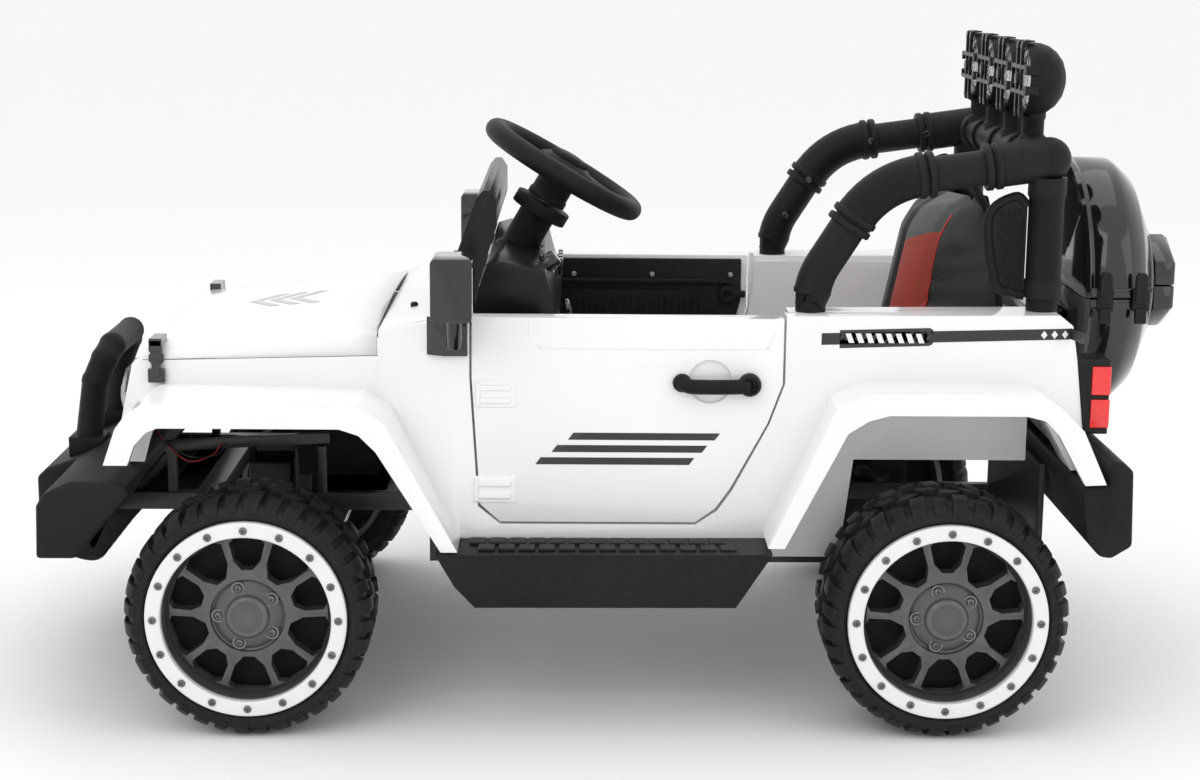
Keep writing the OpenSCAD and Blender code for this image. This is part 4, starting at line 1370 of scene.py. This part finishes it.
def puffed(shape, cap, pressure=4.0):
    """An even grid over the shape, blown up from inside and capped."""
    grid = shape.modifiers.new("even grid", "REMESH")
    grid.mode = "VOXEL"
    grid.voxel_size = 0.0055
    plain(shape)
    start = [v.co.copy() for v in shape.data.vertices]
    cloth = shape.modifiers.new("air", "CLOTH")
    cloth.settings.quality = 4
    cloth.settings.mass = 0.2
    cloth.settings.tension_stiffness = 12
    cloth.settings.bending_stiffness = 0.4
    cloth.settings.use_pressure = True
    cloth.settings.uniform_pressure_force = pressure
    cloth.settings.effector_weights.gravity = 0
    for number in range(1, 21):
        bpy.context.scene.frame_set(number)
    plain(shape)
    bpy.context.scene.frame_set(1)
    for vertex, old in zip(shape.data.vertices, start):
        move = vertex.co - old
        if move.length > cap:
            vertex.co = old + move.normalized() * cap
    smooth = shape.modifiers.new("smooth", "SMOOTH")
    smooth.iterations = 3
    finer = shape.modifiers.new("finer", "SUBSURF")
    finer.levels = finer.render_levels = 1
    plain(shape)
    shape.data.shade_smooth()
    return shape


def press_channels(shape, channels, depth, width, along):
    """Presses seams into a pad: each is a y position, and along picks the points that belong to the front."""
    normals = [v.normal.copy() for v in shape.data.vertices]
    for vertex, normal in zip(shape.data.vertices, normals):
        if along(vertex.co, normal):
            for y in channels:
                share = max(0.0, 1 - abs(vertex.co.y - y) / width)
                vertex.co -= normal * depth * share * share * (3 - 2 * share)


LOBE_IN, LOBE_OUT = 0.019, 0.076
SEAMS = (-LOBE_OUT, -LOBE_IN, LOBE_IN, LOBE_OUT)
reach = SEAT_HALF - 0.004
base_pad = across(
    "seat_base_pad",
    [
        at("rear", 144, 168), at("rear", 145, 181), at("rear", 134, 192), at("rear", 40, 196),
        at("rear", 36, 168)
    ],
    -reach, reach
)
back_pad = across(
    "seat_back_pad",
    [
        at("rear", 33, 202), at("rear", 25, 280), at("rear", 4, 386), at("rear", -18, 428),
        at("rear", -36, 440), at("rear", -47, 438), at("rear", -67, 407), at("rear", -80, 294),
        at("rear", -81, 170), at("rear", 32, 170)
    ],
    -reach, reach
)
puffed(base_pad, 0.006)
puffed(back_pad, 0.007)
for vertex in back_pad.data.vertices:
    front = max(0.0, min(1.0, (vertex.co.x - AXLE_X["rear"] + 0.075) / 0.05))
    vertex.co.x -= 0.055 * (vertex.co.y / reach) ** 2 * front
press_channels(base_pad, SEAMS, 0.005, 0.007, lambda p, n: n.z > 0.3)
press_channels(back_pad, SEAMS, 0.006, 0.008, lambda p, n: n.x > 0.15 or n.z > 0.5)

# %% Seat cover
# The cover is dyed by place: black sides and a black centre channel, and two lobes that are grey above and
# red below.
cover = finish_of("seat cover", (0.014, 0.014, 0.015), 0.44, 420, 0.35, (0.05, 0.05, 0.05), 0.4, 0.10)
tree = cover.node_tree
wear_node = next(n for n in tree.nodes if n.type == "GROUP" and n.node_tree == WEAR)
place = add(tree, "ShaderNodeTexCoord").outputs["Object"]
parts_of = add(tree, "ShaderNodeSeparateXYZ", {"Vector": place})
off_centre = add(tree, "ShaderNodeMath", {0: parts_of.outputs["Y"]}, operation="ABSOLUTE")
outside = add(tree, "ShaderNodeMath", {0: off_centre.outputs["Value"], 1: LOBE_IN}, operation="GREATER_THAN")
inside = add(tree, "ShaderNodeMath", {0: off_centre.outputs["Value"], 1: LOBE_OUT}, operation="LESS_THAN")
lobe = add(
    tree, "ShaderNodeMath", {0: outside.outputs["Value"], 1: inside.outputs["Value"]}, operation="MULTIPLY"
)
slant = add(
    tree, "ShaderNodeMath", {0: off_centre.outputs["Value"], 1: -0.35, 2: parts_of.outputs["Z"]},
    operation="MULTIPLY_ADD"
)
above = add(tree, "ShaderNodeMath", {0: slant.outputs["Value"], 1: SILL_Z + 0.047}, operation="GREATER_THAN")
dye = add(
    tree, "ShaderNodeMixRGB",
    {"Fac": above.outputs["Value"], "Color1": (0.36, 0.035, 0.016, 1), "Color2": (0.075, 0.075, 0.078, 1)}
)
both_dyes = add(
    tree, "ShaderNodeMixRGB",
    {"Fac": lobe.outputs["Value"], "Color1": (0.014, 0.014, 0.015, 1), "Color2": dye.outputs["Color"]}
)
tree.links.new(both_dyes.outputs["Color"], wear_node.inputs["Colour"])
for pad in (base_pad, back_pad):
    done(pad, "body", cover, "seat_cover")
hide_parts("seat_cushion")
print("pads have", len(base_pad.data.polygons), "and", len(back_pad.data.polygons), "faces")

# %% Piping
# A thin red welt follows each edge of the two lobes. Rays cast at the pad find its face.
bpy.context.view_layer.update()
welts = []
for y in SEAMS:
    line = []
    for step in range(26):
        share = step / 25
        height = AXLE_Z + 0.214 + 0.196 * share
        hit, spot, _, _ = back_pad.ray_cast(Vector((AXLE_X["rear"] + 0.3, y, height)), Vector((-1, 0, 0)))
        if hit:
            line.append(spot + Vector((0.0006, 0, 0)))
    welts.append(tube("welt", line, 0.0013, 8))
RED_WELT = finish_of("red welt", (0.42, 0.02, 0.015), 0.5, 900, 0.3, (0.5, 0.06, 0.04), 0.4)
done(joined("seat_piping", welts), "body", RED_WELT)
print("seat has", len(welts), "welts")

# %% [markdown]
# ## Steering wheel The wheel is built in its own frame: Z runs up the shaft to the driver, and X runs to the
# bottom of the wheel.

# %% Steering wheel
shaft = next(j for j in frame["record"]["behaviour"]["joints"] if j["name"] == "steering_wheel_turn")
up_shaft = Vector(shaft["axis"])
wheel_down = Vector((-up_shaft.z, 0, up_shaft.x))
turn = Matrix((wheel_down, Vector((0, -1, 0)), up_shaft)).transposed().to_4x4()
HELM = Matrix.Translation(Vector(shaft["pos_m"])) @ turn
GRIP_RING, GRIP_R = 94.5, 12.4
grip_outline = []
for angle in range(0, 360, 20):
    a = math.radians(angle)
    grip_outline.append((GRIP_RING + GRIP_R * math.cos(a), GRIP_R * math.sin(a)))
grip = turned("grip", in_mm(grip_outline), 96)
grip.data.shade_smooth()
helm_parts = [grip]
base = turned("hub", in_mm([(0, -9), (36, -9), (38, -6), (36, 6), (27, 12), (0, 12)]), 8)
helm_parts.append(plain(soften(base, 1.6 * MM, 3)))
for angle, wide in ((90, 16), (-90, 16), (0, 14)):
    spoke = across(
        "spoke", in_mm([(28, -7), (60, -5.5), (88, -5), (88, 5), (60, 5), (28, 8)]), -wide * MM, wide * MM
    )
    groove = block("groove", (0.040, -0.0045, 0.0035), (0.078, 0.0045, 0.02))
    cut(spoke, groove)
    helm_parts.append(moved(plain(soften(spoke, 2.2 * MM, 3)), Matrix.Rotation(math.radians(angle), 4, "Z")))
cap = turned("cap", in_mm([(0, 11), (23, 11), (25, 14), (22, 19), (9, 20.5), (0, 20.5)]), 6)
soften(cap, 1.8 * MM, 3)
helm_parts.append(plain(cap))
sleeve = turned(
    "sleeve",
    in_mm([(0, -43.5), (24, -43.5), (24.6, -42), (24.6, -36), (23, -34), (23, -14), (26, -9), (0, -9)]), 48
)
sleeve.data.shade_smooth()
helm_parts.append(sleeve)
helm = joined("steering_wheel_skin", helm_parts)
moved(helm, HELM)
helm.data.set_sharp_from_angle(angle=math.radians(38))
done(helm, "steering_wheel", BLACK_SATIN, "black_satin", "steering_wheel")
button = turned("button", in_mm([(0, 7), (6.5, 7), (6.5, 9.4), (5, 10.4), (0, 10.6)]), 28)
crisp(button, 40)
buttons = [twin(button, "button", HELM @ Matrix.Translation((0, s * 0.060, -0.002))) for s in (1, -1)]
bpy.data.objects.remove(button)
done(joined("horn_buttons", buttons), "steering_wheel", RED_GLOSS)
print("steering wheel is", round(2 * (GRIP_RING + GRIP_R)), "mm across")

# %% [markdown]
# ## Parts whose CAD shape is right
# These keep the CAD part's shape. A copy of each gets rounded edges and its material.

# %% Copies with rounded edges
plan = (
    ("grille", 1.6, WHITE, "white_gloss", "body"),
    ("grille_insert", 1.0, BLACK_SMOOTH, "black_satin", "body"),
    ("windscreen_frame", 4.5, BLACK_SMOOTH, "black_satin", "body"),
    ("dashboard", 3.0, BLACK_SMOOTH, "black_satin", "body"),
    ("steering_column", 1.4, BLACK_SATIN, "black_satin", "body"),
    ("foot_pedal", 1.5, BLACK_SATIN, "black_satin", "body"),
    ("front_bumper", 4.0, BLACK_SATIN, "black_satin", "body"),
    ("rear_bumper", 4.0, BLACK_SATIN, "black_satin", "body"),
    ("skid_plate", 2.0, BLACK_SATIN, "black_satin", "body"),
    ("side_steps", 3.5, BLACK_SATIN, "black_satin", "body"),
    ("tail_lights", 1.2, BLACK_SMOOTH, "black_satin", "body"),
    ("bull_bar", 0.8, BLACK_SATIN, "black_satin", "body"),
    ("mirrors", 1.8, BLACK_GLOSS, "black_gloss", "body"),
    ("chassis_frame", 1.2, BLACK_STEEL, "black_steel", "body"),
    ("front_axle", 1.0, BLACK_STEEL, "black_steel", "body"), ("rear_axle", 0.8, STEEL, "plain_steel", "body"),
    ("rear_gearboxes", 2.0, BLACK_SMOOTH, "black_satin", "body"),
    ("battery", 2.0, BLACK_SATIN, "black_satin", "body"),
    ("steering_shaft", 0.6, STEEL, "plain_steel", "steering_wheel"),
    ("tie_rod", 0.8, STEEL, "plain_steel", "tie_rod"),
    ("knuckle_left", 0.8, STEEL, "plain_steel", "knuckle_left"),
    ("knuckle_right", 0.8, STEEL, "plain_steel", "knuckle_right"),
    ("front_gearbox_left", 1.6, BLACK_SMOOTH, "black_satin", "knuckle_left"),
    ("front_gearbox_right", 1.6, BLACK_SMOOTH, "black_satin", "knuckle_right")
)
for node, width, material, finish, body in plan:
    done(from_cad(node, node + "_skin", width * MM, 2), body, material, finish, node)
print(len(plan), "CAD parts dressed")

# %% [markdown]
# ## Lights at the nose and the tail

# %% Headlights and tail lenses
lamp_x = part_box("headlights")[0].x
lamp_z = (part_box("headlights")[0].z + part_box("headlights")[1].z) / 2
bowl_shape = [
    (0, 6), (12, 7), (26, 16), (38, 30), (39, 34), (41.5, 34), (41.5, 30), (34, 13), (18, 3), (0, 2)
]
dome_shape = [(0, 52), (15, 51), (30, 46), (41, 36), (41, 34), (38, 35), (29, 44), (15, 49), (0, 50)]
bowls, domes = [], []
for _, sign in SIDES:
    place = Matrix.Translation((lamp_x, sign * 0.140, lamp_z)) @ Matrix.Rotation(math.pi / 2, 4, "Y")
    for outline, store in ((bowl_shape, bowls), (dome_shape, domes)):
        shape = moved(turned("light", in_mm(outline), 64), place)
        crisp(shape, 50)
        store.append(shape)
done(joined("headlight_bowls", bowls), "body", CHROME)
done(joined("headlight_glasses", domes), "body", CLEAR, "clear_lens", "headlights")
lens = from_cad("tail_lenses", "tail_lens_skin", 1.2 * MM, 2)
done(lens, "body", RED_LENS, "red_lens", "tail_lenses")
tail_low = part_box("tail_lenses")[0]
ribs = []
for _, sign in SIDES:
    for part in range(2):
        for i in range(6):
            z = tail_low.z + 0.0045 + part * 0.037 + i * 0.0046
            y0, y1 = sorted((sign * (SIDE_Y - 0.040), sign * (SIDE_Y - 0.004)))
            ribs.append(
                plain(
                    soften(
                        block("rib", (tail_low.x - 0.0008, y0, z), (tail_low.x + 0.0012, y1, z + 0.0022)),
                        0.0005, 1
                    )
                )
            )
done(joined("tail_lens_ribs", ribs), "body", RED_LENS)
print("lights are in")

# %% [markdown]
# ## Small parts on the outside

# %% Hood latches
latch_low, latch_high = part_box("hood_latches")
mid = (latch_low.x + latch_high.x) / 2
latches = []
for _, sign in SIDES:
    y_in, y_out = latch_high.y - 0.010, latch_high.y - 0.0005
    pieces = (
        (-0.0075, 0.0075, latch_high.z - 0.012, latch_high.z + 0.002, y_in - 0.003, y_out),
        (-0.0065, 0.0065, latch_high.z - 0.026, latch_high.z - 0.010, y_in, y_out - 0.002),
        (-0.0085, 0.0085, latch_high.z - 0.024, latch_high.z - 0.015, y_in, y_out - 0.003),
        (-0.0095, 0.0095, latch_low.z, latch_low.z + 0.016, y_in, y_out - 0.001),
        (-0.0050, 0.0050, latch_low.z + 0.006, latch_low.z + 0.026, y_in + 0.002, y_out))
    for x0, x1, z0, z1, y0, y1 in pieces:
        a, b = sorted((sign * y0, sign * y1))
        latches.append(plain(soften(block("latch", (mid + x0, a, z0), (mid + x1, b, z1)), 1.2 * MM, 2)))
    a, b = sorted((sign * (latch_high.y - 0.036), sign * y_out))
    hook = block("hook", (mid - 0.0072, a, latch_high.z - 0.006), (mid + 0.0072, b, latch_high.z + 0.0035))
    latches.append(plain(soften(hook, 1.2 * MM, 2)))
done(joined("hood_latch_skin", latches), "body", BLACK_GLOSS, "black_gloss", "hood_latches")

# %% Mirror faces, skid ribs, step treads and bolts
mirror_glass = []
for _, sign in SIDES:
    y0, y1 = sorted((sign * (SIDE_Y + 0.019), sign * (SIDE_Y + 0.067)))
    plate = block(
        "glass", (AXLE_X["front"] - 0.2448, y0, SILL_Z + 0.016),
        (AXLE_X["front"] - 0.2436, y1, SILL_Z + 0.064)
    )
    mirror_glass.append(plain(soften(plate, 0.0005, 1)))
done(joined("mirror_faces", mirror_glass), "body", MIRROR_FACE)
rib_parts = []
for i in range(9):
    y = (i - 4) * 0.028
    path = [
        at("front", 246, 27), at("front", 252, 12), at("front", 240, 4), at("front", 214, 0.5),
        at("front", 198, 20)
    ]
    line = smooth_line([Vector((x, y, z)) for x, z in path], 6)
    rib_parts.append(tube("rib", line, 0.0055, 12))
done(joined("skid_ribs", rib_parts), "body", BLACK_SATIN)
tread = block("tread lump", (-0.009, -0.011, 0), (0.009, 0.011, 0.004))
plain(soften(tread, 0.0015, 2))
lumps = []
for _, sign in SIDES:
    for i in range(13):
        x = AXLE_X["front"] - 0.235 - i * 0.022 - 0.012
        for row, y in enumerate((SIDE_Y + 0.020, SIDE_Y + 0.046)):
            lumps.append(
                twin(
                    tread, "lump",
                    Matrix.Translation((x - row * 0.011, sign * y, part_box("side_steps")[1].z - 0.002))
                )
            )
bpy.data.objects.remove(tread)
done(joined("step_treads", lumps), "body", BLACK_SATIN)
bolt = screw(4.0, 2.0)
spots = []
for _, sign in SIDES:
    for dz in (60, 86):
        spots.append(
            Matrix.Translation((AXLE_X["front"] + 0.2785, sign * 0.105, AXLE_Z + dz * MM)) @ Matrix.Rotation(
                math.pi / 2, 4, "Y"
            )
        )
    for z in (95, 140):
        spots.append(
            Matrix.Translation(
                (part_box("rear_bumper")[0].x + 0.0008, sign * 0.27, AXLE_Z + z * MM)
            ) @ Matrix.Rotation(-math.pi / 2, 4, "Y")
        )
bolts = [twin(bolt, "bolt", spot) for spot in spots]
bpy.data.objects.remove(bolt)
done(joined("bumper_bolts", bolts), "body", SCREW)
print("ribs, treads and bolts are on")

# %% [markdown]
# The dashboard carries a round knob, two gloss oval trims and a row of switches. The cowl has a small black
# peg.

# %% Dashboard trim
trims = []
for x, z in ((0.090, 0.461), (0.068, 0.446)):
    oval = turned("oval", in_mm([(0, 0), (10, 0), (10, 2.5), (8.5, 4), (6, 4.4), (5.5, 3), (0, 3)]), 40)
    slope = Matrix.Rotation(math.radians(-78), 4, "Y")
    trims.append(
        moved(oval, Matrix.Translation((x - 0.014, 0.165, z)) @ slope @ Matrix.Diagonal((1.0, 1.5, 1, 1)))
    )
knob = turned("knob", in_mm([(0, 0), (13, 0), (13, 3), (11, 4), (10, 14), (8, 16.5), (0, 17)]), 40)
trims.append(
    moved(
        knob, Matrix.Translation((0.079, 0.125, SILL_Z + 0.037)) @ Matrix.Rotation(math.radians(-50), 4, "Y")
    )
)
for i in range(4):
    y = -0.12 + 0.026 * i
    switch = block("switch", (0.060, y - 0.008, SILL_Z + 0.002), (0.066, y + 0.008, SILL_Z + 0.022))
    trims.append(plain(soften(switch, 1.5 * MM, 2)))
for shape in trims:
    crisp(shape, 35)
done(joined("dash_trims", trims), "body", BLACK_GLOSS)
peg = turned("cowl_peg", in_mm([(0, 0), (4, 0), (4.6, 7), (3, 9), (0, 9.4)]), 20)
peg.data.shade_smooth()
moved(peg, Matrix.Translation((0.232, 0.11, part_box("hood")[1].z - 0.006)))
done(peg, "body", BLACK_SMOOTH)
print("dashboard trim is on")

# %% [markdown]
# ## Lamp wires A thin red wire and a thin black wire hang behind the left headlight and go back into the body at the frame's upper bar. Each is a tube along a smooth line that sags by a given drop between its two ends.

# %% Lamp wires
RED_WIRE = finish_of("red wire", (0.40, 0.012, 0.012), 0.42, 600, 0.10, (0.5, 0.05, 0.04), 0.3)
BLACK_WIRE = finish_of("black wire", (0.010, 0.010, 0.010), 0.42, 600, 0.10, (0.04, 0.04, 0.04), 0.3)
wire_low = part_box("headlights")[0]
for name, aside, drop, material in (
    ("lamp_wire_red", 0.000, 0.030, RED_WIRE), ("lamp_wire_black", 0.005, 0.024, BLACK_WIRE)
):
    start = Vector((wire_low.x + 0.0135, 0.140 + aside, wire_low.z + 0.0085))
    stop = Vector((AXLE_X["front"] + 0.055 - aside, 0.1557, AXLE_Z + 0.148))
    knots = [
        start, start + Vector((-0.006, 0.012, -0.016)), start.lerp(stop, 0.5) + Vector((0, 0.016, -drop)),
        stop + Vector((0.010, 0.006, -0.012)), stop
    ]
    path = smooth_line(knots, 10)
    wire = tube(name, path, 0.0008, 10)
    wire.data.shade_smooth()
    done(wire, "body", material)

# %% [markdown]
# ## Studio
# The floor and the lights aren't part of the car. The floor is a wide pale sheet, and the sky is white.

# %% Floor, sky and lights
floor = piece("studio_floor", [(-60, -60, 0), (60, -60, 0), (60, 60, 0), (-60, 60, 0)], [(0, 1, 2, 3)])
paper = finish_of("pale paper", (0.93, 0.93, 0.93), 0.85, 300, 0.02, (0.90, 0.90, 0.90), 0.3)
floor.data.materials.append(paper)

sky = bpy.data.worlds.new("white sky")
bpy.context.scene.world = sky
sky.use_nodes = True
sky.node_tree.nodes["Background"].inputs["Color"].default_value = (1, 1, 1, 1)
sky.node_tree.nodes["Background"].inputs["Strength"].default_value = 1.0


def soft_light(name, place, target, width, power):
    lamp = bpy.data.lights.new(name, "AREA")
    lamp.size = width
    lamp.energy = power
    made = bpy.data.objects.new(name, lamp)
    bpy.context.scene.collection.objects.link(made)
    aim = (Vector(target) - Vector(place)).to_track_quat("-Z", "Y")
    made.matrix_world = Matrix.Translation(place) @ aim.to_matrix().to_4x4()
    return made


soft_light("key light", (1.6, 2.6, 2.6), (0, 0, 0.3), 2.2, 20)
soft_light("fill light", (-2.4, 2.0, 1.8), (0, 0, 0.3), 2.0, 9)
soft_light("top light", (0, -0.6, 3.2), (0, 0, 0.3), 2.6, 14)
bpy.context.scene.view_settings.view_transform = "Standard"
bpy.context.scene.view_settings.look = "None"
print("studio is lit")
